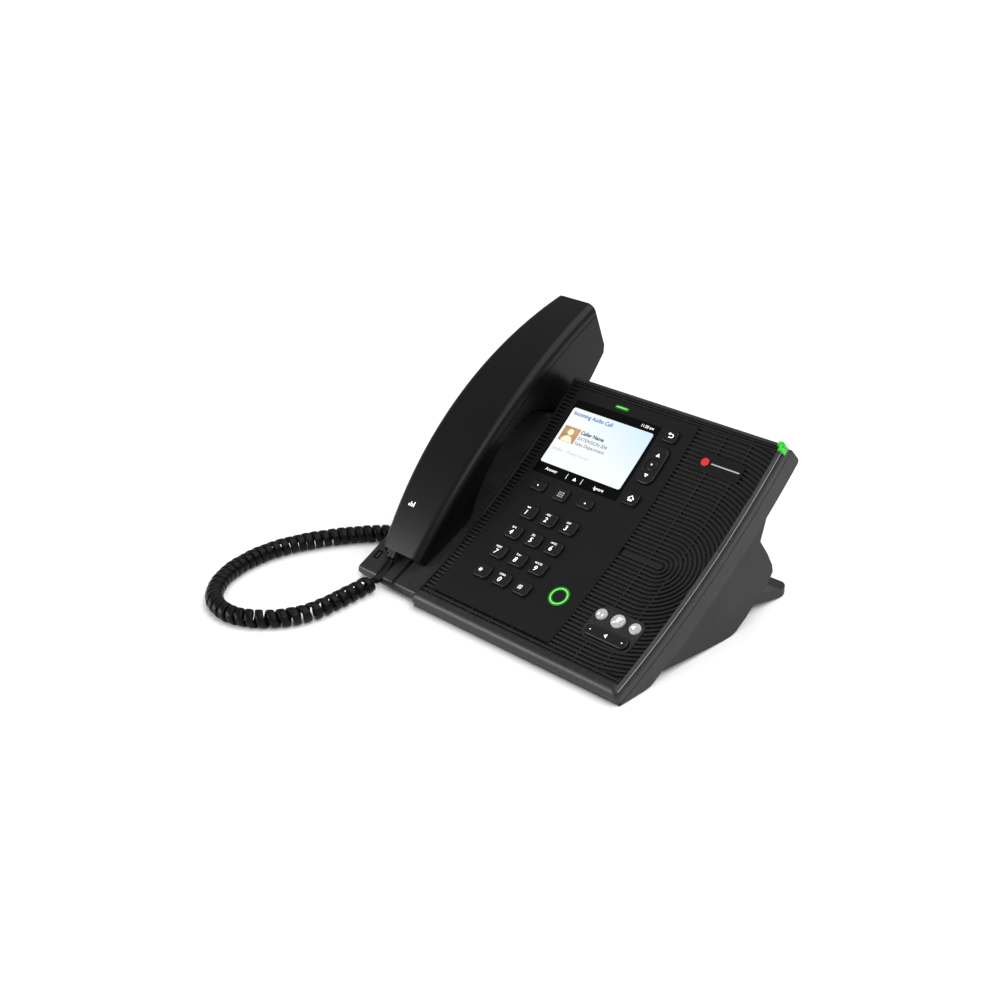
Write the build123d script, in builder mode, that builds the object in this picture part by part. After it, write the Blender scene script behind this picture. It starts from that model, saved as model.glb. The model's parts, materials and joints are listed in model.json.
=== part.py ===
"""Desk IP telephone with a curly-cord handset.

Frame: +X to the user's right, +Y to the back, +Z up, millimetres. The origin is on the desk, under the
middle of the telephone's box (cord and plugs not counted).

The face is a shallow concave cylinder, so most places are given as (x, s, level): s is the distance along
the face from its front edge, and level is the height over the face, square to it.
"""
from build123d import *
from math import asin, cos, pi, radians, sin, tan
import os

os.makedirs("parts", exist_ok=True)

# ---------------------------------------------------------------- driving dimensions
BODY_WIDTH = 177.5
WING_WIDTH = 57.5
RIGHT_X = (BODY_WIDTH + WING_WIDTH) / 2
BODY_LEFT_X = RIGHT_X - BODY_WIDTH
WING_LEFT_X = -RIGHT_X

FACE_FRONT_Y = -104.6
FACE_FRONT_Z = 10.0
FACE_TILT = radians(25.1)
FACE_RADIUS = 602.4
FACE_LENGTH = 198.0

PARTING_LEVEL = -9.6
SLAB_LEVEL = -24.2
WALL = 2.2
FIT = 0.3

RIM_WIDTH = 3.6
RIM_FRONT = 7.5
PANEL_LEVEL = -0.8
PANEL_THICKNESS = 1.8
PANEL_LEFT_X = -49.5
PANEL_RIGHT_X = 54.0
PANEL_FRONT_S = 13.0
PANEL_REAR_S = 190.5

KEY_COLUMNS = (-24.8, -7.2, 10.4)
KEY_ROWS = (91.5, 74.1, 56.8, 39.4)
KEY_SIZE = (12.4, 10.0)
KEY_HEIGHT = 2.0
SIDE_KEY_X = 38.4

GRILLE_CENTRE = (85.5, 91.3)
ROUND_BUTTON_S = 46.1
VOLUME_PLACE = (85.4, 33.2)

WING_LEVEL = -5.0
LEAD_X = -96.8
CORD_AXIS_Z = 6.3
COIL_DIAMETER = 12.2
LAMP_WIDTH = 5.5
LAMP_LENGTH = 6.5
SEAM_GAP = 0.6
SEAM_DEPTH = 0.9
LEAD_DIAMETER = 5.0


# ---------------------------------------------------------------- geometry of the face
def face_angle(s):
    """Tilt of the face at distance s, in radians."""
    return FACE_TILT + s / FACE_RADIUS


def face_point(s, level=0.0):
    """(y, z) of a place over the face."""
    angle = face_angle(s)
    radius = FACE_RADIUS - level
    centre_y = FACE_FRONT_Y - FACE_RADIUS * sin(FACE_TILT)
    centre_z = FACE_FRONT_Z + FACE_RADIUS * cos(FACE_TILT)
    return (centre_y + radius * sin(angle), centre_z - radius * cos(angle))


def face_plane(x, s, level=0.0):
    """Plane tangent to the face, with its x along the telephone's width."""
    y, z = face_point(s, level)
    angle = face_angle(s)
    return Plane(origin=(x, y, z), x_dir=(1, 0, 0), z_dir=(0, -sin(angle), cos(angle)))


def face_strip(s_front, s_rear, low, high):
    """Sketch in (y, z): the strip between two levels of the face."""
    s_middle = (s_front + s_rear) / 2
    with BuildSketch() as strip:
        with BuildLine():
            ThreePointArc(face_point(s_front, low), face_point(s_middle, low), face_point(s_rear, low))
            Line(face_point(s_rear, low), face_point(s_rear, high))
            ThreePointArc(face_point(s_rear, high), face_point(s_middle, high), face_point(s_front, high))
            Line(face_point(s_front, high), face_point(s_front, low))
        make_face()
    return strip.sketch


def face_slab(x_left, x_right, s_front, s_rear, low, high):
    """Solid that follows the face between two levels."""
    with BuildPart() as slab:
        with BuildSketch(Plane.YZ.offset(x_left)):
            add(face_strip(s_front, s_rear, low, high))
        extrude(amount=x_right - x_left)
    return slab.part


def rounded_block(x, s, low, high, width, length, corner):
    """Straight rounded block, square to the face."""
    with BuildPart() as block:
        with BuildSketch(face_plane(x, s, low)):
            RectangleRounded(width, length, corner)
        extrude(amount=high - low)
    return block.part


def round_block(x, s, low, high, radius):
    """Round block, square to the face."""
    with BuildPart() as block:
        with BuildSketch(face_plane(x, s, low)):
            Circle(radius)
        extrude(amount=high - low)
    return block.part


def profile_prism(points, x_left, x_right):
    """Prism of a straight-sided (y, z) outline."""
    with BuildPart() as prism:
        with BuildSketch(Plane.YZ.offset(x_left)):
            with BuildLine():
                Polyline(*points, close=True)
            make_face()
        extrude(amount=x_right - x_left)
    return prism.part


def finish(name, part):
    """Label a finished piece and write it."""
    part.label = name
    export_step(part, f"parts/{name}.step")


# ---------------------------------------------------------------- key table
# name: (x, s, width, length, corner, top level)
KEYS = {}
for row, row_names in enumerate((("1", "2", "3"), ("4", "5", "6"), ("7", "8", "9"), ("star", "0", "hash"))):
    for column, key_name in enumerate(row_names):
        place = (KEY_COLUMNS[column], KEY_ROWS[row])
        KEYS[f"key_{key_name}"] = (*place, *KEY_SIZE, 2.4, KEY_HEIGHT + PANEL_LEVEL)
KEYS["softkey_left"] = (-32.0, 111.8, 13.0, 6.8, 2.2, 1.0)
KEYS["menu_key"] = (-11.2, 111.6, 11.6, 9.4, 2.2, 1.2)
KEYS["softkey_right"] = (9.5, 111.8, 13.0, 6.8, 2.2, 1.0)
KEYS["back_key"] = (SIDE_KEY_X, 177.0, 11.6, 8.8, 2.4, 1.2)
KEYS["home_key"] = (SIDE_KEY_X, 126.6, 11.6, 8.8, 2.4, 1.2)

ROUND_BUTTONS = {
    "headset_button": (71.7, 3.9),
    "mute_button": (84.9, 4.8),
    "speaker_button": (98.3, 3.9),
}
NAV_PLACE = (SIDE_KEY_X, 153.8)
NAV_SIZE = (13.4, 28.0)
SELECT_RADIUS = 4.3
VOLUME_SIZE = (37.0, 8.0)

# ---------------------------------------------------------------- top housing: rim and side walls
FACE_OPENING = (BODY_LEFT_X + RIM_WIDTH, RIGHT_X - RIM_WIDTH, RIM_FRONT, FACE_LENGTH - RIM_WIDTH)
with BuildPart() as top_housing:
    add(face_slab(BODY_LEFT_X, RIGHT_X, 0, FACE_LENGTH, PARTING_LEVEL, 0))
    corner_edges = top_housing.edges().filter_by(Axis.X, reverse=True).filter_by(GeomType.LINE)
    fillet(corner_edges, radius=3.0)
    front_edge = top_housing.edges().filter_by(Axis.X).group_by(Axis.Y)[0]
    fillet(front_edge, radius=5.5)
    add(
        face_slab(BODY_LEFT_X + WALL, RIGHT_X - WALL, WALL, FACE_LENGTH - WALL, -12, -2.6),
        mode=Mode.SUBTRACT,
    )
    add(face_slab(*FACE_OPENING, -4, 2), mode=Mode.SUBTRACT)
    # seat of the message lamp, in the rear right corner
    add(
        face_slab(RIGHT_X - LAMP_WIDTH, RIGHT_X + 1, FACE_LENGTH - LAMP_LENGTH, FACE_LENGTH + 1, -5.5, 1),
        mode=Mode.SUBTRACT,
    )
finish("top_housing", top_housing.part)

# ---------------------------------------------------------------- message lamp in the rear right corner
with BuildPart() as message_lamp:
    add(face_slab(RIGHT_X - LAMP_WIDTH, RIGHT_X, FACE_LENGTH - RIM_WIDTH + 0.1, FACE_LENGTH, -5.5, 0))
    add(face_slab(RIGHT_X - RIM_WIDTH + 0.1, RIGHT_X, FACE_LENGTH - LAMP_LENGTH, FACE_LENGTH, -5.5, 0))
    outer_group = message_lamp.edges().filter_by(GeomType.LINE).filter_by(Axis.X, reverse=True)
    fillet(outer_group.group_by(Axis.X)[-1].sort_by(Axis.Y)[-1:], radius=2.9)
finish("message_lamp", message_lamp.part)

# ---------------------------------------------------------------- face plate (speaker grille and margins)
with BuildPart() as face_grille:
    left, right, front, rear = FACE_OPENING
    add(face_slab(left + 0.2, right - 0.2, front + 0.2, rear - 0.2, -2.6, -1.4))
    add(face_slab(left - 1.2, right + 1.2, front - 1.2, rear + 1.2, -4.2, -2.7))
    add(face_slab(left + 0.2, right - 0.2, front + 0.2, rear - 0.2, -2.8, -2.5))
    add(face_slab(PANEL_LEFT_X, PANEL_RIGHT_X, PANEL_FRONT_S, PANEL_REAR_S, -5, 0), mode=Mode.SUBTRACT)
    # window for the sound, behind the ribs
    add(round_block(*GRILLE_CENTRE, -5, -2.4, 24), mode=Mode.SUBTRACT)
    add(rounded_block(VOLUME_PLACE[0], 39.8, -5, 0, 38.0 + 0.4, 25.0 + 0.4, 6.2), mode=Mode.SUBTRACT)
    # clear of the message lamp's corner
    add(face_slab(RIGHT_X - 12.2, RIGHT_X, FACE_LENGTH - 7.2, FACE_LENGTH, -6, 1), mode=Mode.SUBTRACT)
finish("face_grille", face_grille.part)

# ---------------------------------------------------------------- smooth panel that carries screen and keys
with BuildPart() as front_panel:
    add(face_slab(PANEL_LEFT_X + 0.15, PANEL_RIGHT_X - 0.15, PANEL_FRONT_S + 0.15, PANEL_REAR_S - 0.15,
                  PANEL_LEVEL - PANEL_THICKNESS, PANEL_LEVEL))
    for x, s, width, length, corner, _ in KEYS.values():
        add(rounded_block(x, s, -4, 1, width + 2 * FIT, length + 2 * FIT, corner + FIT), mode=Mode.SUBTRACT)
    add(rounded_block(*NAV_PLACE, -4, 1, NAV_SIZE[0] + 0.8, NAV_SIZE[1] + 0.8, 5.4), mode=Mode.SUBTRACT)
    add(face_slab(-45.2, 28.2, 121.6, 181.4, -4, 1), mode=Mode.SUBTRACT)
    add(rounded_block(-8.2, 185.6, -4, 1, 10.4, 1.9, 0.9), mode=Mode.SUBTRACT)
    add(round_block(36.8, 45.4, -4, 1, 8.2), mode=Mode.SUBTRACT)
finish("front_panel", front_panel.part)

with BuildPart() as volume_pad:
    add(rounded_block(VOLUME_PLACE[0], 39.8, -2.6, -0.9, 38.0, 25.0, 6.0))
    for x, radius in ROUND_BUTTONS.values():
        add(round_block(x, ROUND_BUTTON_S, -4, 1, radius + FIT), mode=Mode.SUBTRACT)
    add(
        rounded_block(*VOLUME_PLACE, -4, 1, VOLUME_SIZE[0] + 0.8 - 4, VOLUME_SIZE[1] + 0.8, 4.0),
        mode=Mode.SUBTRACT,
    )
finish("volume_pad", volume_pad.part)

with BuildPart() as badge_plate:
    add(rounded_block(83.6, 168.6, -1.3, -0.5, 33.0, 12.6, 1.2))
finish("badge_plate", badge_plate.part)

with BuildPart() as display_window:
    add(face_slab(-45.0, 28.0, 121.8, 181.2, -2.4, -0.7))
finish("display_window", display_window.part)

with BuildPart() as lcd_module:
    add(face_slab(-48.0, 31.0, 120.8, 183.0, -8.4, -4.4))
    add(face_slab(-44.6, 26.0, 129.4, 175.6, -4.4, -2.6))
finish("lcd_module", lcd_module.part)

with BuildPart() as status_light_bar:
    add(rounded_block(-8.2, 185.6, -4.0, -0.6, 10.0, 1.5, 0.7))
finish("status_light_bar", status_light_bar.part)

with BuildPart() as status_ring_lens:
    add(round_block(36.8, 45.4, -4.0, -0.8, 8.0))
finish("status_ring_lens", status_ring_lens.part)


# ---------------------------------------------------------------- keys and buttons
def push_key(x, s, width, length, corner, top):
    """Key cap with a flange that keeps it behind the panel."""
    with BuildPart() as key:
        with BuildSketch(face_plane(x, s, -4.6)):
            RectangleRounded(width, length, corner)
        extrude(amount=top + 4.6)
        fillet(key.faces().sort_by(Axis.Z)[-1].edges(), radius=0.7)
        with BuildSketch(face_plane(x, s, -4.6)):
            RectangleRounded(width + 1.4, length + 1.4, corner + 0.7)
        extrude(amount=1.4)
    return key.part


for key_name, key_shape in KEYS.items():
    finish(key_name, push_key(*key_shape))

for button_name, (button_x, button_radius) in ROUND_BUTTONS.items():
    with BuildPart() as round_button:
        with BuildSketch(face_plane(button_x, ROUND_BUTTON_S, -4.6)):
            Circle(button_radius)
        extrude(amount=4.8)
        fillet(round_button.edges().sort_by(Axis.Z)[-1], radius=0.6)
    finish(button_name, round_button.part)

with BuildPart() as nav_rocker:
    add(rounded_block(*NAV_PLACE, -4.2, 1.2, *NAV_SIZE, 5.0))
    fillet(nav_rocker.faces().sort_by(Axis.Z)[-1].edges(), radius=0.8)
    add(round_block(*NAV_PLACE, -5, 2, SELECT_RADIUS + 0.4), mode=Mode.SUBTRACT)
finish("nav_rocker", nav_rocker.part)

with BuildPart() as select_button:
    add(round_block(*NAV_PLACE, -4.6, 1.6, SELECT_RADIUS))
    fillet(select_button.edges().sort_by(Axis.Z)[-1], radius=0.8)
finish("select_button", select_button.part)

with BuildPart() as volume_rocker:
    add(rounded_block(*VOLUME_PLACE, -4.0, 1.0, VOLUME_SIZE[0] - 4, VOLUME_SIZE[1], 3.8))
    fillet(volume_rocker.faces().sort_by(Axis.Z)[-1].edges(), radius=0.9)
finish("volume_rocker", volume_rocker.part)

# ---------------------------------------------------------------- inside the body
with BuildPart() as keypad_membrane:
    add(face_slab(-42, 50, 28, 118, -9.2, -7.8))
finish("keypad_membrane", keypad_membrane.part)

with BuildPart() as main_board:
    add(face_slab(-54, 46, 26, 186, -14.2, -12.6))
finish("main_board", main_board.part)

with BuildPart() as loudspeaker:
    with BuildSketch(face_plane(*GRILLE_CENTRE, -6.0)):
        Circle(25)
    extrude(amount=-3)
    with BuildSketch(face_plane(*GRILLE_CENTRE, -9.0)):
        Circle(20)
    extrude(amount=-7, taper=20)
    with BuildSketch(face_plane(*GRILLE_CENTRE, -16.0)):
        Circle(10)
    extrude(amount=-4.5)
finish("loudspeaker", loudspeaker.part)

with BuildPart() as handsfree_mic:
    add(round_block(108.0, 13.0, -8.5, -4.6, 3.0))
finish("handsfree_mic", handsfree_mic.part)

# ---------------------------------------------------------------- bottom housing with its front chin
CHIN = ((-98.9, 0.5), (-76.5, 0.5), (-70.7, 1.0), (-65.7, 3.4), (-59.8, 6.9))
CHIN_END_S = 54.0
CASE_SCREWS = ((-50.0, 186.0), (108.0, 186.0), (-50.0, 167.0), (108.0, 167.0))
CHIN_FEET = ((-44.0, -88.0), (101.0, -88.0))
FOOT_PAD = (14.0, 8.0)
FOOT_RECESS = 0.9


def lower_outline(inset):
    """Outline of the lower shell in (y, z), moved inwards by inset."""
    top = PARTING_LEVEL
    with BuildSketch() as outline:
        with BuildLine():
            ThreePointArc(face_point(0, top), face_point(FACE_LENGTH / 2, top), face_point(FACE_LENGTH, top))
            Line(face_point(FACE_LENGTH, top), face_point(FACE_LENGTH, SLAB_LEVEL))
            ThreePointArc(face_point(FACE_LENGTH, SLAB_LEVEL), face_point(126, SLAB_LEVEL),
                          face_point(CHIN_END_S, SLAB_LEVEL))
            Polyline(face_point(CHIN_END_S, SLAB_LEVEL), *reversed(CHIN), face_point(0, top))
        make_face()
        fillet(outline.vertices().sort_by(Axis.X)[-1], radius=3.0)
        if inset > 0:
            offset(amount=-inset, kind=Kind.ARC, mode=Mode.REPLACE)
    return outline.sketch


def stadium_pad(x, y, low, high, margin=0.0):
    """Rounded pad that lies flat, for the rubber feet and their recesses."""
    with BuildPart() as pad:
        with BuildSketch(Plane(origin=(x, y, low))):
            RectangleRounded(
                FOOT_PAD[0] + 2 * margin, FOOT_PAD[1] + 2 * margin, FOOT_PAD[1] / 2 + margin - 0.01
            )
        extrude(amount=high - low)
    return pad.part


def seam_frame():
    """Frame that takes a shallow groove out of the outer edge, just under the seam."""
    seam = (PARTING_LEVEL - SEAM_GAP, PARTING_LEVEL + 1)
    left, right = BODY_LEFT_X + SEAM_DEPTH, RIGHT_X - SEAM_DEPTH
    with BuildPart() as groove:
        add(face_slab(BODY_LEFT_X - 1, RIGHT_X + 1, -2, FACE_LENGTH + 2, *seam))
        add(face_slab(left, right, SEAM_DEPTH, FACE_LENGTH - SEAM_DEPTH, *seam), mode=Mode.SUBTRACT)
    return groove.part


with BuildPart() as bottom_housing:
    with BuildSketch(Plane.YZ.offset(BODY_LEFT_X)):
        add(lower_outline(0))
    extrude(amount=BODY_WIDTH)
    with BuildSketch(Plane.YZ.offset(BODY_LEFT_X + WALL)):
        add(lower_outline(WALL))
        add(face_strip(WALL + 1, FACE_LENGTH - WALL, PARTING_LEVEL - 3.5, PARTING_LEVEL + 1))
    extrude(amount=BODY_WIDTH - 2 * WALL, mode=Mode.SUBTRACT)
    for x, s in CASE_SCREWS:
        add(round_block(x, s, SLAB_LEVEL + 1.5, -15.2, 4.2))
    for x, s in CASE_SCREWS:
        add(round_block(x, s, SLAB_LEVEL - 2, -14.5, 1.5), mode=Mode.SUBTRACT)
        add(round_block(x, s, SLAB_LEVEL - 2, SLAB_LEVEL + 1.8, 3.0), mode=Mode.SUBTRACT)
    # slots that let the sound of the ringer out
    for slot in range(5):
        x = 85 + 4 * (slot - 2)
        add(rounded_block(x, 172, SLAB_LEVEL - 2, SLAB_LEVEL + 4, 1.8, 16, 0.8), mode=Mode.SUBTRACT)
    for x, y in CHIN_FEET:
        add(stadium_pad(x, y, -1, FOOT_RECESS + 0.05, 0.15), mode=Mode.SUBTRACT)
    # shallow groove along the seam with the top housing
    add(seam_frame(), mode=Mode.SUBTRACT)
finish("bottom_housing", bottom_housing.part)

with BuildPart() as case_screws:
    for x, s in CASE_SCREWS:
        add(round_block(x, s, SLAB_LEVEL + 0.3, SLAB_LEVEL + 1.75, 2.8))
        add(round_block(x, s, SLAB_LEVEL + 1.7, -15.6, 1.4))
    for x, s in CASE_SCREWS:
        add(rounded_block(x, s, SLAB_LEVEL, SLAB_LEVEL + 0.9, 3.6, 0.8, 0.2), mode=Mode.SUBTRACT)
        add(rounded_block(x, s, SLAB_LEVEL, SLAB_LEVEL + 0.9, 0.8, 3.6, 0.2), mode=Mode.SUBTRACT)
finish("case_screws", case_screws.part)

# ---------------------------------------------------------------- desk stand and its rear foot
STAND_OUTLINE = (
    (-57.4, 6.0), (-21.1, 2.6), (5.3, 0.5), (13.3, 0.5), (18.6, 1.8), (28.7, 7.8),
    (44.7, 20.4), (51.8, 25.0), (55.8, 31.0), (54.4, 36.4), (47.8, 47.1), (38.5, 59.2),
)
STAND_S = (55.5, 158.6)
STAND_WALL = 2.6
STAND_LEFT_X = BODY_LEFT_X + 0.9
STAND_RIGHT_X = RIGHT_X - 0.9
STAND_FEET = ((-48.0, 9.3), (105.0, 9.3))
BAY_X = (-30.0, 60.0)
BAY_WALL_Y = 12.0
BAY_TOP_Z = 36.0
NETWORK_BLOCK = (-6.0, 40.0, 9.0, 24.0)
LINE_BLOCK = (-28.0, 4.0, 6.0, 20.0)
LINE_SOCKETS_Y = (-20.0, -4.0)
LINE_SOCKET_Z = 13.0


def stand_outline(inset):
    """Side outline of the stand in (y, z), closed along the slab's underside."""
    clearance = SLAB_LEVEL - 0.05
    with BuildSketch() as outline:
        with BuildLine():
            Polyline(face_point(STAND_S[0], clearance), *STAND_OUTLINE, face_point(STAND_S[1], clearance))
            ThreePointArc(face_point(STAND_S[1], clearance), face_point(107, clearance),
                          face_point(STAND_S[0], clearance))
        make_face()
        if inset > 0:
            offset(amount=-inset, kind=Kind.ARC, mode=Mode.REPLACE)
    return outline.sketch


def stand_prism(x_left, x_right, inset=0.0):
    """Prism of the stand's side outline."""
    with BuildPart() as prism:
        with BuildSketch(Plane.YZ.offset(x_left)):
            add(stand_outline(inset))
        extrude(amount=x_right - x_left)
    return prism.part


def box_between(x_range, y_range, z_range):
    """Upright box given by its ranges."""
    with BuildPart() as block:
        with BuildSketch(Plane.XY.offset(z_range[0])):
            with Locations((sum(x_range) / 2, sum(y_range) / 2)):
                Rectangle(x_range[1] - x_range[0], y_range[1] - y_range[0])
        extrude(amount=z_range[1] - z_range[0])
    return block.part


with BuildPart() as desk_stand:
    add(stand_prism(STAND_LEFT_X, STAND_RIGHT_X))
    add(stand_prism(STAND_LEFT_X + STAND_WALL, STAND_RIGHT_X - STAND_WALL, STAND_WALL), mode=Mode.SUBTRACT)
    # the bay in the back for the cables: its walls, kept inside the stand's outline, then its hollow
    bay_walls_x = (BAY_X[0] - STAND_WALL, BAY_X[1] + STAND_WALL)
    add(box_between(bay_walls_x, (BAY_WALL_Y - STAND_WALL, 70), (0, BAY_TOP_Z + STAND_WALL)))
    add(stand_prism(STAND_LEFT_X, STAND_RIGHT_X), mode=Mode.INTERSECT)
    add(box_between(BAY_X, (BAY_WALL_Y, 72), (-5, BAY_TOP_Z)), mode=Mode.SUBTRACT)
    # cut-outs for the socket blocks
    block_x = (NETWORK_BLOCK[0] - 0.2, NETWORK_BLOCK[1] + 0.2)
    block_z = (NETWORK_BLOCK[2] - 0.2, NETWORK_BLOCK[3] + 0.2)
    add(box_between(block_x, (BAY_WALL_Y - 5, BAY_WALL_Y + 1), block_z), mode=Mode.SUBTRACT)
    line_y = (LINE_BLOCK[0] - 0.2, LINE_BLOCK[1] + 0.2)
    line_z = (LINE_BLOCK[2] - 0.2, LINE_BLOCK[3] + 0.2)
    add(box_between((STAND_LEFT_X - 1, STAND_LEFT_X + 5), line_y, line_z), mode=Mode.SUBTRACT)
    for x, y in STAND_FEET:
        add(stadium_pad(x, y, -1, FOOT_RECESS + 0.05, 0.15), mode=Mode.SUBTRACT)
finish("desk_stand", desk_stand.part)

with BuildPart() as network_jacks:
    x0, x1, z0, z1 = NETWORK_BLOCK
    add(box_between((x0, x1), (BAY_WALL_Y - 17, BAY_WALL_Y), (z0, z1)))
    for x in (x0 + 11.5, x1 - 11.5):
        socket_y = (BAY_WALL_Y - 13, BAY_WALL_Y + 1)
        add(box_between((x - 5.9, x + 5.9), socket_y, (z0 + 3.0, z0 + 9.8)), mode=Mode.SUBTRACT)
        add(box_between((x - 3.0, x + 3.0), socket_y, (z0 + 9.7, z0 + 12.0)), mode=Mode.SUBTRACT)
finish("network_jacks", network_jacks.part)

with BuildPart() as line_jacks:
    add(box_between((STAND_LEFT_X, STAND_LEFT_X + 14), LINE_BLOCK[:2], LINE_BLOCK[2:]))
    for y in LINE_SOCKETS_Y:
        socket_z = (LINE_SOCKET_Z - 3.2, LINE_SOCKET_Z + 3.2)
        add(
            box_between((STAND_LEFT_X - 1, STAND_LEFT_X + 11), (y - 3.9, y + 3.9), socket_z),
            mode=Mode.SUBTRACT,
        )
finish("line_jacks", line_jacks.part)

FOOT_OUTLINE = ((33.05, 11.1), (76.0, 0.5), (86.5, 0.5), (90.3, 3.2), (89.6, 5.4), (78.0, 6.4), (41.6, 17.8))
FOOT_X = (-52.5, 110.0)
FOOT_PADS = ((-42.0, 81.0), (99.5, 81.0))
with BuildPart() as rear_foot:
    add(profile_prism(FOOT_OUTLINE, *FOOT_X))
    with BuildSketch(Plane.XY.offset(-5)):
        with Locations((sum(FOOT_X) / 2, 59.0)):
            RectangleRounded(FOOT_X[1] - FOOT_X[0], 63.0, 11.0)
        with Locations((sum(BAY_X) / 2, 50.0)):
            Rectangle(BAY_X[1] - BAY_X[0] + 8, 48.0, mode=Mode.SUBTRACT)
    extrude(amount=40, mode=Mode.INTERSECT)
    for x, y in FOOT_PADS:
        add(stadium_pad(x, y, -1, FOOT_RECESS + 0.05, 0.15), mode=Mode.SUBTRACT)
finish("rear_foot", rear_foot.part)

with BuildPart() as rubber_feet:
    for x, y in CHIN_FEET + STAND_FEET + FOOT_PADS:
        add(stadium_pad(x, y, 0, FOOT_RECESS))
finish("rubber_feet", rubber_feet.part)

# ---------------------------------------------------------------- handset cradle: the wing on the left
WING_WALL = 2.6
WING_FRONT = ((-93.6, 0.5), (-97.0, 4.6))
SEAT_LEVEL = -29.4
SEAT_BOTTOM_LEVEL = -34.0
SEAT_TOP_S = 166.0
SEAT_S = (180.5, 206.0)
WING_RIGHT_X = BODY_LEFT_X - 0.05
TAB_PLACE = (-111.3, 20.5)
HOOK_PLACE = (-88.8, 192.0)
HOOK_SIZE = (9.0, 6.0)
SLIT_X = -83.0
POCKET_S = 26.5

with BuildPart() as handset_cradle:
    with BuildSketch(Plane.YZ.offset(WING_LEFT_X)) as wing_section:
        with BuildLine():
            ThreePointArc(
                face_point(6.5, WING_LEVEL), face_point(86, WING_LEVEL), face_point(SEAT_TOP_S, WING_LEVEL)
            )
            Polyline(face_point(SEAT_TOP_S, WING_LEVEL), face_point(SEAT_S[0], SEAT_LEVEL),
                     face_point(SEAT_S[1], SEAT_LEVEL - 0.6), face_point(SEAT_S[1], SEAT_BOTTOM_LEVEL),
                     face_point(174, SEAT_BOTTOM_LEVEL), face_point(152, SLAB_LEVEL))
            ThreePointArc(
                face_point(152, SLAB_LEVEL), face_point(100, SLAB_LEVEL), face_point(CHIN_END_S, SLAB_LEVEL)
            )
            Polyline(
                face_point(CHIN_END_S, SLAB_LEVEL),
                *reversed(CHIN[1:]),
                *WING_FRONT,
                face_point(6.5, WING_LEVEL),
            )
        make_face()
        front_corner = wing_section.vertices().sort_by(Axis.X)[1]
        fillet(front_corner, radius=2.8)
    extrude(amount=WING_RIGHT_X - WING_LEFT_X)
    # low wall on the outer side of the ear seat
    with BuildSketch(Plane.YZ.offset(WING_LEFT_X)):
        with BuildLine():
            Polyline(face_point(SEAT_TOP_S - 2, WING_LEVEL - 1), face_point(SEAT_TOP_S, WING_LEVEL),
                     face_point(SEAT_S[1] - 8, -16), face_point(SEAT_S[1], SEAT_LEVEL + 3),
                     face_point(SEAT_S[1], SEAT_LEVEL - 1), face_point(SEAT_S[0] - 2, SEAT_LEVEL - 1),
                     close=True)
        make_face()
    extrude(amount=WING_WALL)
    # hollow, open towards the body
    add(
        face_slab(WING_LEFT_X + WING_WALL, WING_RIGHT_X + 1, 16, 158, SLAB_LEVEL + WING_WALL, -11.6),
        mode=Mode.SUBTRACT,
    )
    # groove for the handset lead and its pocket, slit between the pads, tab slot and hook opening
    add(face_slab(LEAD_X - 3.3, LEAD_X + 3.3, 0, 31, -9.8, 0), mode=Mode.SUBTRACT)
    add(face_slab(SLIT_X - 1.7, SLIT_X + 1.7, 0, 30, -6.6, 0), mode=Mode.SUBTRACT)
    with BuildSketch(face_plane(LEAD_X, POCKET_S, -9.8)):
        with BuildLine():
            Polyline((-3.3, -5.0), (-16.1, 1.6), (-16.1, 7.0), (3.3, 7.0), (3.3, -5.0), close=True)
        make_face()
    extrude(amount=12, mode=Mode.SUBTRACT)
    add(rounded_block(*TAB_PLACE, -9, 0, 5.0, 7.4, 1.0), mode=Mode.SUBTRACT)
    add(rounded_block(*HOOK_PLACE, -36, -20, HOOK_SIZE[0] + 0.6, HOOK_SIZE[1] + 0.6, 1.5), mode=Mode.SUBTRACT)
finish("handset_cradle", handset_cradle.part)

with BuildPart() as retention_tab:
    add(rounded_block(*TAB_PLACE, -8.9, -5.1, 2.2, 5.4, 0.9))
finish("retention_tab", retention_tab.part)

with BuildPart() as hook_plunger:
    add(rounded_block(*HOOK_PLACE, SEAT_BOTTOM_LEVEL + 0.1, -29.2, *HOOK_SIZE, 1.2))
finish("hook_plunger", hook_plunger.part)

with BuildPart() as hook_switch:
    add(rounded_block(*HOOK_PLACE, SEAT_BOTTOM_LEVEL - 4.5, SEAT_BOTTOM_LEVEL - 0.05, 16.0, 11.0, 1.2))
finish("hook_switch", hook_switch.part)

# ---------------------------------------------------------------- handset
HANDSET_X = -88.8
HANDSET_HALF_WIDTH = 24.4
HANDSET_END_HALF_WIDTH = 17.6
HANDSET_HALF_LENGTH = 112.0
BACK_ARC_CENTRE = (199.4, -161.0)
BACK_ARC_RADIUS = 339.8
SHELL_SPLIT = 9.5
HANDSET_WALL = 2.4
CHORD_ANGLE = radians(37.7)
FRONT_TOP = (-85.4, 24.3)
REAR_TOP = (91.7, 161.3)
REAR_LOW = (102.79, 129.0)
MIC_FRONT = face_point(26.5, -4.7)
MIC_REAR = face_point(72, -4.7)
GRIP_FRONT = face_point(84, 4)
GRIP_MIDDLE = face_point(125, 16.8)
GRIP_REAR = face_point(158, 11.5)
EAR_FRONT = face_point(184, -29)
EAR_REAR = (101.8, 123.3)


def back_arc_point(angle_degrees, radius=BACK_ARC_RADIUS):
    """(y, z) on the handset's back, by the angle at the arc's centre."""
    angle = radians(angle_degrees)
    return (BACK_ARC_CENTRE[0] + radius * cos(angle), BACK_ARC_CENTRE[1] + radius * sin(angle))


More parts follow.
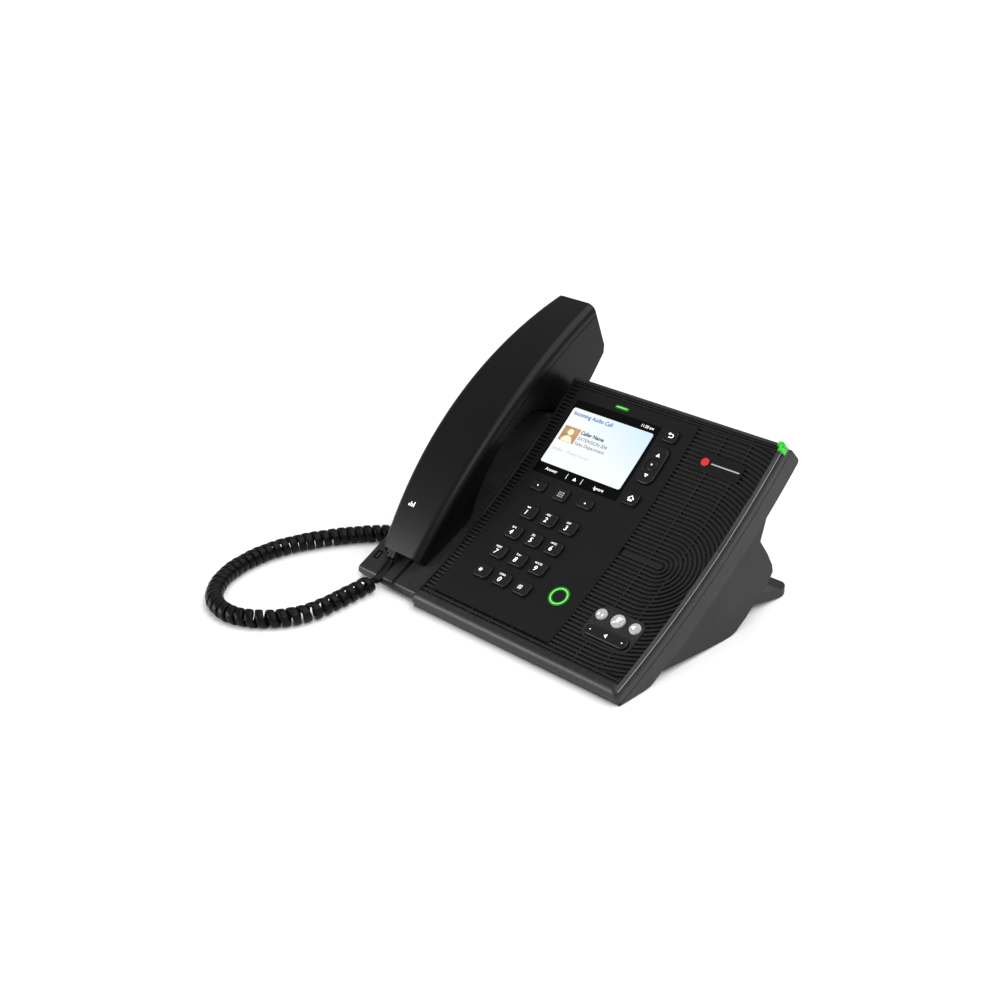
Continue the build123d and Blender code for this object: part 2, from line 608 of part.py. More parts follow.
def handset_outline(inset):
    """Side outline of the handset in (y, z), moved inwards by inset."""
    with BuildSketch() as outline:
        with BuildLine():
            ThreePointArc(FRONT_TOP, back_arc_point(127.7), REAR_TOP)
            Polyline(REAR_TOP, REAR_LOW, EAR_REAR, EAR_FRONT, GRIP_REAR)
            ThreePointArc(GRIP_REAR, GRIP_MIDDLE, GRIP_FRONT)
            Polyline(GRIP_FRONT, MIC_REAR, MIC_FRONT, FRONT_TOP)
        make_face()
        corners = outline.vertices().sort_by(Axis.X)
        fillet([v for v in corners if v.distance_to(Vertex(*GRIP_REAR, 0)) < 1], radius=8.0)
        fillet([v for v in outline.vertices() if v.distance_to(Vertex(*EAR_FRONT, 0)) < 1], radius=5.0)
        fillet([v for v in outline.vertices() if v.distance_to(Vertex(*GRIP_FRONT, 0)) < 1], radius=12.0)
        fillet([v for v in outline.vertices() if v.distance_to(Vertex(*MIC_REAR, 0)) < 1], radius=4.0)
        if inset > 0:
            offset(amount=-inset, kind=Kind.ARC, mode=Mode.REPLACE)
    return outline.sketch


def handset_plan(inset):
    """Barrel-shaped plan of the handset, moved inwards by inset."""
    reach = HANDSET_HALF_LENGTH + 30
    bulge = (HANDSET_HALF_WIDTH - HANDSET_END_HALF_WIDTH) / HANDSET_HALF_LENGTH ** 2
    middle = HANDSET_HALF_WIDTH - inset
    end = middle - bulge * reach ** 2
    with BuildSketch() as plan:
        with BuildLine():
            ThreePointArc((end, -reach), (middle, 0), (end, reach))
            Line((end, reach), (-end, reach))
            ThreePointArc((-end, reach), (-middle, 0), (-end, -reach))
            Line((-end, -reach), (end, -reach))
        make_face()
    return plan.sketch


PLAN_PLANE = Plane(
    origin=(HANDSET_X, (FRONT_TOP[0] + REAR_TOP[0]) / 2, (FRONT_TOP[1] + REAR_TOP[1]) / 2),
    x_dir=(1, 0, 0),
    z_dir=(0, -sin(CHORD_ANGLE), cos(CHORD_ANGLE)),
)


def handset_solid(inset):
    """Side outline and plan combined."""
    with BuildPart() as solid:
        with BuildSketch(Plane.YZ.offset(HANDSET_X - 40)):
            add(handset_outline(inset))
        extrude(amount=80)
        with BuildSketch(PLAN_PLANE):
            add(handset_plan(inset))
        extrude(amount=160, both=True, mode=Mode.INTERSECT)
    return solid.part


def below_split(depth):
    """Everything that lies more than this depth under the handset's back."""
    with BuildPart() as region:
        with BuildSketch(Plane.YZ.offset(HANDSET_X - 60)):
            with Locations(BACK_ARC_CENTRE):
                Circle(BACK_ARC_RADIUS - depth)
        extrude(amount=120)
    return region.part


JACK_TILT = radians(50)
JACK_AXIS = Plane(
    origin=(LEAD_X, (MIC_FRONT[0] + FRONT_TOP[0]) / 2, (MIC_FRONT[1] + FRONT_TOP[1]) / 2),
    x_dir=(1, 0, 0),
    z_dir=(0, -cos(JACK_TILT), -sin(JACK_TILT)),
)


def along_jack(start, end, width, height, corner):
    """Rounded bar along the handset socket's axis; distances count outwards."""
    with BuildPart() as bar:
        with BuildSketch(JACK_AXIS.offset(start)):
            RectangleRounded(width, height, corner)
        extrude(amount=end - start)
    return bar.part


full_handset = handset_solid(0)
handset_cavity = handset_solid(HANDSET_WALL)
inner_side = below_split(SHELL_SPLIT)

with BuildPart() as handset_seam:
    add(full_handset)
    add(below_split(SHELL_SPLIT - SEAM_GAP), mode=Mode.INTERSECT)
    add(handset_solid(SEAM_DEPTH), mode=Mode.SUBTRACT)

with BuildPart() as handset_back:
    add(full_handset)
    back_edges = handset_back.edges().filter_by(lambda e: e.length > 180).sort_by(Axis.Z)[-2:]
    fillet(back_edges, radius=6.0)
    add(handset_cavity, mode=Mode.SUBTRACT)
    add(inner_side, mode=Mode.SUBTRACT)
    add(handset_seam.part, mode=Mode.SUBTRACT)
    add(along_jack(-18, 20, 9.2, 7.4, 0.8), mode=Mode.SUBTRACT)
finish("handset_back", handset_back.part)

EAR_CENTRE_Y = (EAR_FRONT[0] + EAR_REAR[0]) / 2
EAR_CENTRE_Z = (EAR_FRONT[1] + EAR_REAR[1]) / 2
EAR_ANGLE = asin((EAR_REAR[1] - EAR_FRONT[1]) / ((EAR_REAR[0] - EAR_FRONT[0]) ** 2
                                               + (EAR_REAR[1] - EAR_FRONT[1]) ** 2) ** 0.5)
EAR_PLANE = Plane(
    origin=(HANDSET_X, EAR_CENTRE_Y, EAR_CENTRE_Z),
    x_dir=(1, 0, 0),
    z_dir=(0, -sin(EAR_ANGLE), cos(EAR_ANGLE)),
)
MIC_PLACE = (HANDSET_X + 4, 46.0)

with BuildPart() as handset_face:
    add(full_handset)
    add(handset_cavity, mode=Mode.SUBTRACT)
    add(inner_side, mode=Mode.INTERSECT)
    add(along_jack(-18, 20, 9.2, 7.4, 0.8), mode=Mode.SUBTRACT)
    # shallow dish with sound holes at the ear, slots at the mouth
    with BuildSketch(EAR_PLANE.offset(0.7)):
        Circle(13.5)
    extrude(amount=-4, taper=-20, mode=Mode.SUBTRACT)
    with BuildSketch(EAR_PLANE.offset(-1)):
        Circle(1.1)
        with PolarLocations(5.0, 6):
            Circle(1.1)
    extrude(amount=5, mode=Mode.SUBTRACT)
    for slot in (-4, 0, 4):
        add(rounded_block(MIC_PLACE[0] + slot, MIC_PLACE[1], -6, -1, 1.4, 7.0, 0.6), mode=Mode.SUBTRACT)
finish("handset_face", handset_face.part)

# ---------------------------------------------------------------- inside the handset
with BuildPart() as ear_receiver:
    with BuildSketch(EAR_PLANE.offset(2.6)):
        Circle(12.0)
    extrude(amount=7)
    with BuildSketch(EAR_PLANE.offset(9.6)):
        Circle(7.0)
    extrude(amount=2)
finish("ear_receiver", ear_receiver.part)

with BuildPart() as mouth_microphone:
    add(round_block(*MIC_PLACE, -1.7, 2.8, 4.8))
finish("mouth_microphone", mouth_microphone.part)

with BuildPart() as handset_weight:
    add(face_slab(HANDSET_X - 12, HANDSET_X + 12, 106, 140, 21.5, 26.5))
finish("handset_weight", handset_weight.part)

with BuildPart() as handset_jack:
    add(along_jack(-13, -0.5, 9.0, 7.2, 0.7))
    add(along_jack(-11.8, 1, 7.7, 6.1, 0.3), mode=Mode.SUBTRACT)
finish("handset_jack", handset_jack.part)

# ---------------------------------------------------------------- cord: plugs, leads and coil
PLUG_REACH = 4.5
with BuildPart() as handset_plug:
    add(along_jack(-11.6, 2.0, 7.6, 6.0, 0.25))
    with BuildSketch(JACK_AXIS.offset(2.0)):
        Circle(2.9)
    extrude(amount=PLUG_REACH - 2.0)
finish("handset_plug", handset_plug.part)

BASE_PLUG_X = (-68.0, -64.0, -49.8)
HANDSET_SOCKET = (LINE_SOCKETS_Y[1], LINE_SOCKET_Z)
with BuildPart() as base_plug:
    with BuildSketch(Plane(origin=(BASE_PLUG_X[1], *HANDSET_SOCKET), z_dir=(1, 0, 0), x_dir=(0, 1, 0))):
        RectangleRounded(7.6, 6.0, 0.25)
    extrude(amount=BASE_PLUG_X[2] - BASE_PLUG_X[1])
    with BuildSketch(Plane(origin=(BASE_PLUG_X[0], *HANDSET_SOCKET), z_dir=(1, 0, 0), x_dir=(0, 1, 0))):
        Circle(2.9)
    extrude(amount=BASE_PLUG_X[1] - BASE_PLUG_X[0])
finish("base_plug", base_plug.part)

# the relaxed curly cord lies on the desk in a loop beside the telephone
COIL_ROUTE = (
    (-95.8, -104, CORD_AXIS_Z),
    (-94.5, -128, CORD_AXIS_Z),
    (-93.6, -156, CORD_AXIS_Z),
    (-99.9, -175, CORD_AXIS_Z),
    (-113.7, -190.6, CORD_AXIS_Z),
    (-132, -198.5, CORD_AXIS_Z),
    (-156, -193, CORD_AXIS_Z),
    (-175, -170, CORD_AXIS_Z),
    (-182.8, -143.4, CORD_AXIS_Z),
    (-182.5, -114.5, CORD_AXIS_Z),
    (-171, -83.7, CORD_AXIS_Z),
    (-154, -57.5, CORD_AXIS_Z),
    (-134, -37, CORD_AXIS_Z),
    (-119, -18, CORD_AXIS_Z),
)
# straight lead from the handset's plug, down through the groove of the wing
PLUG_END = JACK_AXIS.offset(PLUG_REACH).origin
LEAD_BEND = JACK_AXIS.offset(PLUG_REACH + 8.5).origin
HANDSET_LEAD_ROUTE = (
    (PLUG_END.X, PLUG_END.Y, PLUG_END.Z),
    (LEAD_BEND.X, LEAD_BEND.Y, LEAD_BEND.Z),
    (-96.18, -97.01, 7.0),
    (-95.8, -104, 7.0),
)
# straight lead under the wing to the socket in the stand's left side
BASE_LEAD_ROUTE = (
    COIL_ROUTE[-1],
    (-112.1, -9.26, CORD_AXIS_Z),
    (-100, -4.6, 8.6),
    (-84, -4, LINE_SOCKET_Z),
    (BASE_PLUG_X[0], *HANDSET_SOCKET),
)


def bend_radii(route):
    """The radius of each corner: as large as its two runs allow."""
    points = [Vector(*point) for point in route]
    radii = []
    for before, corner, after in zip(points, points[1:], points[2:]):
        run_in = corner - before
        run_out = after - corner
        half_turn = radians(run_in.get_angle(run_out)) / 2
        radii.append(0.45 * min(run_in.length, run_out.length) / tan(half_turn))
    return radii


def cord_tube(name, route, diameter):
    """Plain round tube along straight runs joined by tangent arcs."""
    radii = bend_radii(route)
    with BuildPart() as tube:
        with BuildLine() as path:
            FilletPolyline(*route, radius=radii)
        with BuildSketch(Plane(origin=path.line @ 0, z_dir=path.line % 0)):
            Circle(diameter / 2)
        sweep()
    length = sum(edge.length for edge in path.edges())
    expected = pi * (diameter / 2) ** 2 * length
    print(name, "length", round(length, 1), "volume ratio", round(tube.part.volume / expected, 4))
    print(name, "radii", [round(radius, 1) for radius in radii])
    finish(name, tube.part)


cord_tube("cord_coil", COIL_ROUTE, COIL_DIAMETER)
cord_tube("cord_lead_handset", HANDSET_LEAD_ROUTE, LEAD_DIAMETER)
cord_tube("cord_lead_base", BASE_LEAD_ROUTE, LEAD_DIAMETER)
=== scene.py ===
"""Looks for the desk IP telephone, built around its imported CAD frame.

Metres, +X to the user's right, +Y to the back, +Z up. Helpers take millimetres: a place on the face is
(x, s, level), with s along the face from its front edge and level square to it.
"""
import json
import math

import bmesh
import bpy
import numpy as np
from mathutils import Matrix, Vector


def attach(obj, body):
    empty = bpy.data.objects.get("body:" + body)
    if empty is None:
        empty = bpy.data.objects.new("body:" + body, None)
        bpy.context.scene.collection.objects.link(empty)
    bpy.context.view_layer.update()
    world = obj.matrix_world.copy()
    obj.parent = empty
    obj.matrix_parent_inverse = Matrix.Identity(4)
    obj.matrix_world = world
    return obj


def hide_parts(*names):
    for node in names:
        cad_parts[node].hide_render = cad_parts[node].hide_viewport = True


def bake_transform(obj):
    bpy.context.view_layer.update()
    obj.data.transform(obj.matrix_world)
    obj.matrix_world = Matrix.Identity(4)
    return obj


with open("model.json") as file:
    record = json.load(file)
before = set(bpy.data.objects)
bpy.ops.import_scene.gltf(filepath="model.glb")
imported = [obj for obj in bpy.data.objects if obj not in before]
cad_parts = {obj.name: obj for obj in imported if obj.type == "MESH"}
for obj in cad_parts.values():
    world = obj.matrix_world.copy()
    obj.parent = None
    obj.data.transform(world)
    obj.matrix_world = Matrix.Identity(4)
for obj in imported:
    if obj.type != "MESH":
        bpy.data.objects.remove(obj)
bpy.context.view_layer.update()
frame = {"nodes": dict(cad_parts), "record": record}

MM = 0.001
FACE_FRONT_Y = -104.6
FACE_FRONT_Z = 10.0
FACE_TILT = math.radians(25.1)
FACE_RADIUS = 602.4

# ------------------------------------------------------------------ camera
camera_data = bpy.data.cameras.new("photo_camera")
camera_data.lens = 56.03
camera_data.sensor_width = 36.0
camera_data.clip_start = 0.05
camera_data.clip_end = 20.0
camera = bpy.data.objects.new("photo_camera", camera_data)
camera.location = Vector((605.6, -715.0, 507.5)) * MM
camera.rotation_euler = (math.radians(64.61), 0.0, math.radians(43.61))
bpy.context.scene.collection.objects.link(camera)
bpy.context.scene.camera = camera


# ------------------------------------------------------------------ places on the face
def face_angle(s):
    return FACE_TILT + s / FACE_RADIUS


def face_point(s, level=0.0):
    angle = face_angle(s)
    radius = FACE_RADIUS - level
    y = FACE_FRONT_Y - FACE_RADIUS * math.sin(FACE_TILT) + radius * math.sin(angle)
    z = FACE_FRONT_Z + FACE_RADIUS * math.cos(FACE_TILT) - radius * math.cos(angle)
    return y, z


def on_face(x, s, level=0.0):
    y, z = face_point(s, level)
    return Vector((x * MM, y * MM, z * MM))


# ------------------------------------------------------------------ materials
def new_material(name):
    material = bpy.data.materials.new(name)
    material.use_nodes = True
    tree = material.node_tree
    shader = tree.nodes["Principled BSDF"]
    return material, tree, shader


def node(tree, kind, **values):
    made = tree.nodes.new(kind)
    for key, value in values.items():
        if key in made.inputs:
            made.inputs[key].default_value = value
        else:
            setattr(made, key, value)
    return made


def noise(tree, scale, detail=3.0, roughness=0.6):
    place = node(tree, "ShaderNodeTexCoord")
    made = node(tree, "ShaderNodeTexNoise", Scale=scale, Detail=detail, Roughness=roughness)
    tree.links.new(place.outputs["Object"], made.inputs["Vector"])
    return made.outputs["Fac"]


def ramp(tree, fac, low, high, start=0.3, end=0.7):
    made = node(tree, "ShaderNodeValToRGB")
    made.color_ramp.elements[0].position = start
    made.color_ramp.elements[0].color = (*low, 1.0)
    made.color_ramp.elements[1].position = end
    made.color_ramp.elements[1].color = (*high, 1.0)
    tree.links.new(fac, made.inputs["Fac"])
    return made.outputs["Color"]


def span(tree, fac, low, high):
    made = node(tree, "ShaderNodeMapRange", **{"To Min": low, "To Max": high})
    tree.links.new(fac, made.inputs["Value"])
    return made.outputs["Result"]


def moulded(name, color, rough=0.45, grain=2600.0, bump=0.25, spread=0.18, metallic=0.0, specular=0.5,
            coat=0.0, patch=45.0):
    """Moulded or finished surface: fine grain in its bump, softer patches in colour and gloss."""
    material, tree, shader = new_material(name)
    low = tuple(channel * (1 - spread) for channel in color)
    high = tuple(channel * (1 + spread) for channel in color)
    fine = noise(tree, grain, 2.0, 0.5)
    broad = noise(tree, patch, 4.0, 0.6)
    both = node(tree, "ShaderNodeMath", operation="MULTIPLY_ADD")
    both.inputs[1].default_value = 0.5
    half = node(tree, "ShaderNodeMath", operation="MULTIPLY")
    half.inputs[1].default_value = 0.5
    tree.links.new(broad, half.inputs[0])
    tree.links.new(fine, both.inputs[0])
    tree.links.new(half.outputs[0], both.inputs[2])
    tree.links.new(ramp(tree, both.outputs[0], low, high, 0.36, 0.64), shader.inputs["Base Color"])
    tree.links.new(span(tree, fine, rough - 0.07, rough + 0.07), shader.inputs["Roughness"])
    shader.inputs["Metallic"].default_value = metallic
    shader.inputs["Specular IOR Level"].default_value = specular
    shader.inputs["Coat Weight"].default_value = coat
    made = node(tree, "ShaderNodeBump", Strength=bump, Distance=0.00012)
    tree.links.new(fine, made.inputs["Height"])
    tree.links.new(made.outputs["Normal"], shader.inputs["Normal"])
    return material


def lit(name, color, strength, spread=0.06, patch=300.0):
    """Surface that gives light, a little uneven as behind a moulded lens."""
    material, tree, shader = new_material(name)
    low = tuple(channel * (1 - spread) for channel in color)
    uneven = ramp(tree, noise(tree, patch), low, color)
    tree.links.new(uneven, shader.inputs["Base Color"])
    tree.links.new(uneven, shader.inputs["Emission Color"])
    shader.inputs["Emission Strength"].default_value = strength
    shader.inputs["Roughness"].default_value = 0.4
    return material


def display_material():
    """Lit white page that turns pale blue towards its top and right."""
    material, tree, shader = new_material("display_page")
    place = node(tree, "ShaderNodeTexCoord")
    split = node(tree, "ShaderNodeSeparateXYZ")
    tree.links.new(place.outputs["Generated"], split.inputs["Vector"])
    blend = node(tree, "ShaderNodeMath", operation="MULTIPLY")
    tree.links.new(split.outputs["X"], blend.inputs[0])
    tree.links.new(split.outputs["Z"], blend.inputs[1])
    colour = ramp(tree, blend.outputs[0], (0.93, 0.965, 1.0), (0.62, 0.84, 0.97), 0.1, 1.0)
    tree.links.new(colour, shader.inputs["Emission Color"])
    shader.inputs["Base Color"].default_value = (0.02, 0.02, 0.02, 1.0)
    shader.inputs["Emission Strength"].default_value = 1.0
    shader.inputs["Roughness"].default_value = 0.25
    return material


housing = moulded("housing_plastic", (0.0105, 0.0105, 0.0108), 0.44, 900.0, 0.8, spread=0.6,
                  specular=0.36)
stand_plastic = moulded("stand_plastic", (0.0078, 0.0078, 0.0081), 0.48, 900.0, 0.8, spread=0.6,
                        specular=0.30)
grille = moulded("grille_plastic", (0.0066, 0.0064, 0.0059), 0.40, 2200.0, 0.3, specular=0.28)
panel = moulded("panel_plastic", (0.0045, 0.0045, 0.0047), 0.40, 3000.0, 0.16, specular=0.20)
handset_shell = moulded("handset_plastic", (0.0018, 0.0018, 0.0020), 0.36, 2400.0, 0.25, specular=0.20)
key_plastic = moulded("key_plastic", (0.0050, 0.0050, 0.0053), 0.40, 3600.0, 0.15, specular=0.24)
rocker_plastic = moulded("rocker_plastic", (0.0045, 0.0045, 0.0047), 0.36, 3600.0, 0.12, specular=0.3)
socket_plastic = moulded("socket_plastic", (0.006, 0.006, 0.006), 0.35, 1800.0, 0.1)
glass = moulded("window_glass", (0.0009, 0.001, 0.0012), 0.20, 900.0, 0.02, specular=0.10, patch=20.0)
rubber = moulded("foot_rubber", (0.012, 0.012, 0.012), 0.8, 1500.0, 0.5)
cord_jacket = moulded("cord_jacket", (0.0013, 0.0013, 0.0014), 0.38, 1500.0, 0.15, specular=0.13)
clear_plug = moulded("plug_clear", (0.018, 0.018, 0.019), 0.20, 700.0, 0.05, coat=0.2)
steel = moulded("pressed_steel", (0.42, 0.42, 0.43), 0.36, 1400.0, 0.2, metallic=1.0)
dark_steel = moulded("screw_steel", (0.16, 0.16, 0.17), 0.34, 1400.0, 0.2, metallic=1.0)
iron = moulded("weight_iron", (0.09, 0.09, 0.095), 0.7, 1100.0, 0.7, metallic=0.7)
solder_mask = moulded("board_green", (0.012, 0.09, 0.035), 0.4, 900.0, 0.2, coat=0.3)
silicone = moulded("membrane_silicone", (0.42, 0.42, 0.40), 0.7, 1500.0, 0.3)
lens_dark = moulded("ring_lens_dark", (0.0050, 0.0055, 0.0052), 0.40, 2600.0, 0.12, specular=0.22)
lens_green = lit("lens_green", (0.02, 0.42, 0.02), 0.85, 0.7, 420.0)
lens_halo = lit("lens_halo", (0.006, 0.075, 0.006), 0.8)
lens_bright = lit("lens_bright", (0.10, 0.62, 0.07), 0.75, 0.3, 700.0)
disc_light = lit("disc_light", (0.30, 0.30, 0.295), 0.55, 0.35, 1100.0)
disc_mark = lit("disc_mark", (0.80, 0.80, 0.79), 0.75)
legend = lit("legend_white", (0.86, 0.87, 0.86), 0.65)
legend_dim = lit("legend_dim", (0.30, 0.31, 0.31), 0.25)
page = display_material()
page_text = moulded("page_text", (0.03, 0.03, 0.035), 0.6, 900.0, 0.0)
page_blue = lit("page_blue", (0.025, 0.10, 0.30), 0.35)
page_grey = lit("page_grey", (0.30, 0.33, 0.36), 0.4)
avatar_back = lit("avatar_back", (0.42, 0.24, 0.13), 0.35, 0.35, 260.0)
avatar_figure = lit("avatar_figure", (0.85, 0.66, 0.47), 0.4)
# pale, glossy plastic for the strip along the rim's right edge; its paleness is a painted highlight
edge_painted_highlight = moulded("edge_painted_highlight", (0.18, 0.18, 0.182), 0.26, 1500.0, 0.1, specular=0.8)
badge_red = moulded("badge_red", (0.50, 0.02, 0.02), 0.35, 2600.0, 0.1)
badge_pale = moulded("badge_pale", (0.34, 0.34, 0.335), 0.4, 2600.0, 0.1)

NODE_LOOKS = {
    "housing": housing, "panel": panel, "handset_shell": handset_shell, "keycap": key_plastic,
    "round_key": disc_light, "badge": panel, "window": glass, "lcd": lens_dark, "lamp_green": lens_green,
    "ring_lens": lens_dark, "membrane": silicone, "board": solder_mask, "speaker_metal": steel,
    "screw_steel": dark_steel, "socket": socket_plastic, "foot_rubber": rubber, "weight_iron": iron,
    "plug_clear": clear_plug, "cord_jacket": cord_jacket,
}
nodes = frame["nodes"]
for entry in frame["record"]["subparts"]:
    cad = nodes[entry["node"]]
    look = NODE_LOOKS[entry["material_slot"]]
    for index in range(len(cad.material_slots)):
        cad.material_slots[index].material = look
    if not cad.material_slots:
        cad.data.materials.append(look)
SPECIAL_LOOKS = {
    "nav_rocker": rocker_plastic, "select_button": rocker_plastic, "volume_rocker": rocker_plastic,
    "status_light_bar": lens_halo, "desk_stand": stand_plastic, "rear_foot": stand_plastic,
}
for name, look in SPECIAL_LOOKS.items():
    for material_slot in nodes[name].material_slots:
        material_slot.material = look


# ------------------------------------------------------------------ mesh helpers
def add_mesh(name, verts, faces, material, body, smooth=False):
    mesh = bpy.data.meshes.new(name)
    mesh.from_pydata([tuple(v) for v in verts], [], faces)
    work = bmesh.new()
    work.from_mesh(mesh)
    bmesh.ops.recalc_face_normals(work, faces=work.faces)
    work.to_mesh(mesh)
    work.free()
    for polygon in mesh.polygons:
        polygon.use_smooth = smooth
    made = bpy.data.objects.new(name, mesh)
    mesh.materials.append(material)
    bpy.context.scene.collection.objects.link(made)
    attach(made, body)
    return made


class Mesh:
    """Collects closed solids for one piece."""

    def __init__(self):
        self.verts = []
        self.faces = []

    def put(self, verts, faces):
        base = len(self.verts)
        self.verts += verts
        self.faces += [tuple(base + i for i in face) for face in faces]

    def loft(self, rings):
        """Closed solid through rings of the same number of places."""
        size = len(rings[0])
        verts = [place for ring in rings for place in ring]
        faces = []
        for row in range(len(rings) - 1):
            for i in range(size):
                j = (i + 1) % size
                faces.append((row * size + i, row * size + j, (row + 1) * size + j, (row + 1) * size + i))
        faces.append(tuple(range(size))[::-1])
        faces.append(tuple((len(rings) - 1) * size + i for i in range(size)))
        self.put(verts, faces)

    def bar(self, rows, low, high, chamfer=0.14):
        """Raised bar on the face; each row is its (x, s) on one side and on the other."""
        rings = []
        for (x0, s0), (x1, s1) in rows:
            width = math.hypot(x1 - x0, s1 - s0)
            k = chamfer / max(width, 0.5)
            profile = ((0, low), (0, high - chamfer), (k, high), (1 - k, high), (1, high - chamfer),
                       (1, low))
            rings.append([on_face(x0 + (x1 - x0) * t, s0 + (s1 - s0) * t, level) for t, level in profile])
        self.loft(rings)

    def slab(self, outline, low, high, step=1.5):
        """Plate that follows the curve of the face; its outline is convex along every line across."""
        outline = list(outline)
        first, last = min(s for _, s in outline), max(s for _, s in outline)
        count = max(2, round((last - first) / step))
        rings = []
        for i in range(count + 1):
            s = first + (last - first) * (0.5 - 0.5 * math.cos(math.pi * i / count))
            s = min(max(s, first + 0.01), last - 0.01)
            cuts = []
            for (xa, sa), (xb, sb) in zip(outline, outline[1:] + outline[:1]):
                if (sa - s) * (sb - s) <= 0 and sa != sb:
                    cuts.append(xa + (xb - xa) * (s - sa) / (sb - sa))
            x0, x1 = min(cuts), max(cuts)
            rings.append([on_face(x, s, level)
                          for x, level in ((x0, low), (x0, high), (x1, high), (x1, low))])
        self.loft(rings)

    def plate(self, outline, low, high):
        """Flat-sided plate on the face with an (x, s) outline."""
        self.loft([[on_face(x, s, low) for x, s in outline], [on_face(x, s, high) for x, s in outline]])

    def make(self, name, material, body, smooth=False):
        return add_mesh(name, self.verts, self.faces, material, body, smooth)


def rounded(x, s, width, length, corner, steps=5):
    """Outline of a rounded rectangle in (x, s)."""
    outline = []
    for quarter, (sx, sy) in enumerate(((1, 1), (-1, 1), (-1, -1), (1, -1))):
        cx = x + sx * (width / 2 - corner)
        cy = s + sy * (length / 2 - corner)
        for step in range(steps + 1):
            angle = math.pi / 2 * (quarter + step / steps)
            outline.append((cx + corner * math.cos(angle), cy + corner * math.sin(angle)))
    return outline


def circle(x, s, radius, steps=28):
    return [(x + radius * math.cos(2 * math.pi * i / steps),
             s + radius * math.sin(2 * math.pi * i / steps)) for i in range(steps)]


CAPITAL_SHARE = 0.70   # height of a capital, as a share of the font size


def lettering(mesh, text, x, s, level, size, align="CENTER", slant=0.0, depth=0.03, weight=0.0):
    """Adds raised characters to a Mesh, laid on the face; size is the height of the capitals."""
    curve = bpy.data.curves.new("lettering", "FONT")
    curve.body = text
    curve.align_x = align
    curve.size = size / CAPITAL_SHARE
    curve.shear = slant
    curve.offset = weight
    curve.extrude = depth
    curve.resolution_u = 4
    carrier = bpy.data.objects.new("lettering", curve)
    flat = bpy.data.meshes.new_from_object(carrier)
    places = [on_face(x + v.co.x, s - size / 2 + v.co.y, level + v.co.z) for v in flat.vertices]
    mesh.put(places, [tuple(polygon.vertices) for polygon in flat.polygons])
    bpy.data.meshes.remove(flat)
    bpy.data.objects.remove(carrier)
    bpy.data.curves.remove(curve)


# ------------------------------------------------------------------ the cord
AXIS_Z = 6.3
CORD_ROUTE = (
    (-68, -4, 13), (-84, -4, 13), (-100, -4.6, 8.6), (-112.1, -9.26, AXIS_Z), (-119, -18, AXIS_Z),
    (-134, -37, AXIS_Z), (-154, -57.5, AXIS_Z), (-171, -83.7, AXIS_Z), (-182.5, -114.5, AXIS_Z),
    (-182.8, -143.4, AXIS_Z), (-175, -170, AXIS_Z), (-156, -193, AXIS_Z), (-132, -198.5, AXIS_Z),
    (-113.7, -190.6, AXIS_Z), (-99.9, -175, AXIS_Z), (-93.6, -156, AXIS_Z), (-94.5, -128, AXIS_Z),
    (-95.8, -104, AXIS_Z), (-96.18, -97.01, 7.0), (-96.8, -90.4, 10.99), (-96.8, -84.94, 17.5),
)
COIL_ENDS = (Vector((-119, -18, AXIS_Z)), Vector((-95.8, -103, AXIS_Z)))
COIL_RADIUS = 5.0
BAND_WIDTH = 5.4
BAND_THICKNESS = 2.4
FINE_STEP = 0.25
WIRE_STEP = 2.2
NEAR_PITCH, PITCH_GAIN = 6.35, 1.35
SECTION_POINTS = 14


def route_line(points):
    """Places along the smooth spline that has these control points, in millimetres."""
    curve = bpy.data.curves.new("route", "CURVE")
    curve.dimensions = "3D"
    curve.resolution_u = 24
    spline = curve.splines.new("NURBS")
    spline.points.add(len(points) - 1)
    for target, place in zip(spline.points, points):
        target.co = (*place, 1.0)
    spline.order_u = 3
    spline.use_endpoint_u = True
    carrier = bpy.data.objects.new("route", curve)
    line = bpy.data.meshes.new_from_object(carrier)
    places = np.array([v.co for v in line.vertices], float)
    bpy.data.meshes.remove(line)
    bpy.data.objects.remove(carrier)
    bpy.data.curves.remove(curve)
    return places


def evenly(places, step):
    along = np.concatenate([[0.0], np.cumsum(np.linalg.norm(np.diff(places, axis=0), axis=1))])
    count = int(round(along[-1] / step))
    at = np.linspace(0.0, along[-1], count + 1)
    return at, np.stack([np.interp(at, along, places[:, k]) for k in range(3)], axis=1)


def smooth_step(value):
    t = np.clip(value, 0.0, 1.0)
    return t * t * (3 - 2 * t)


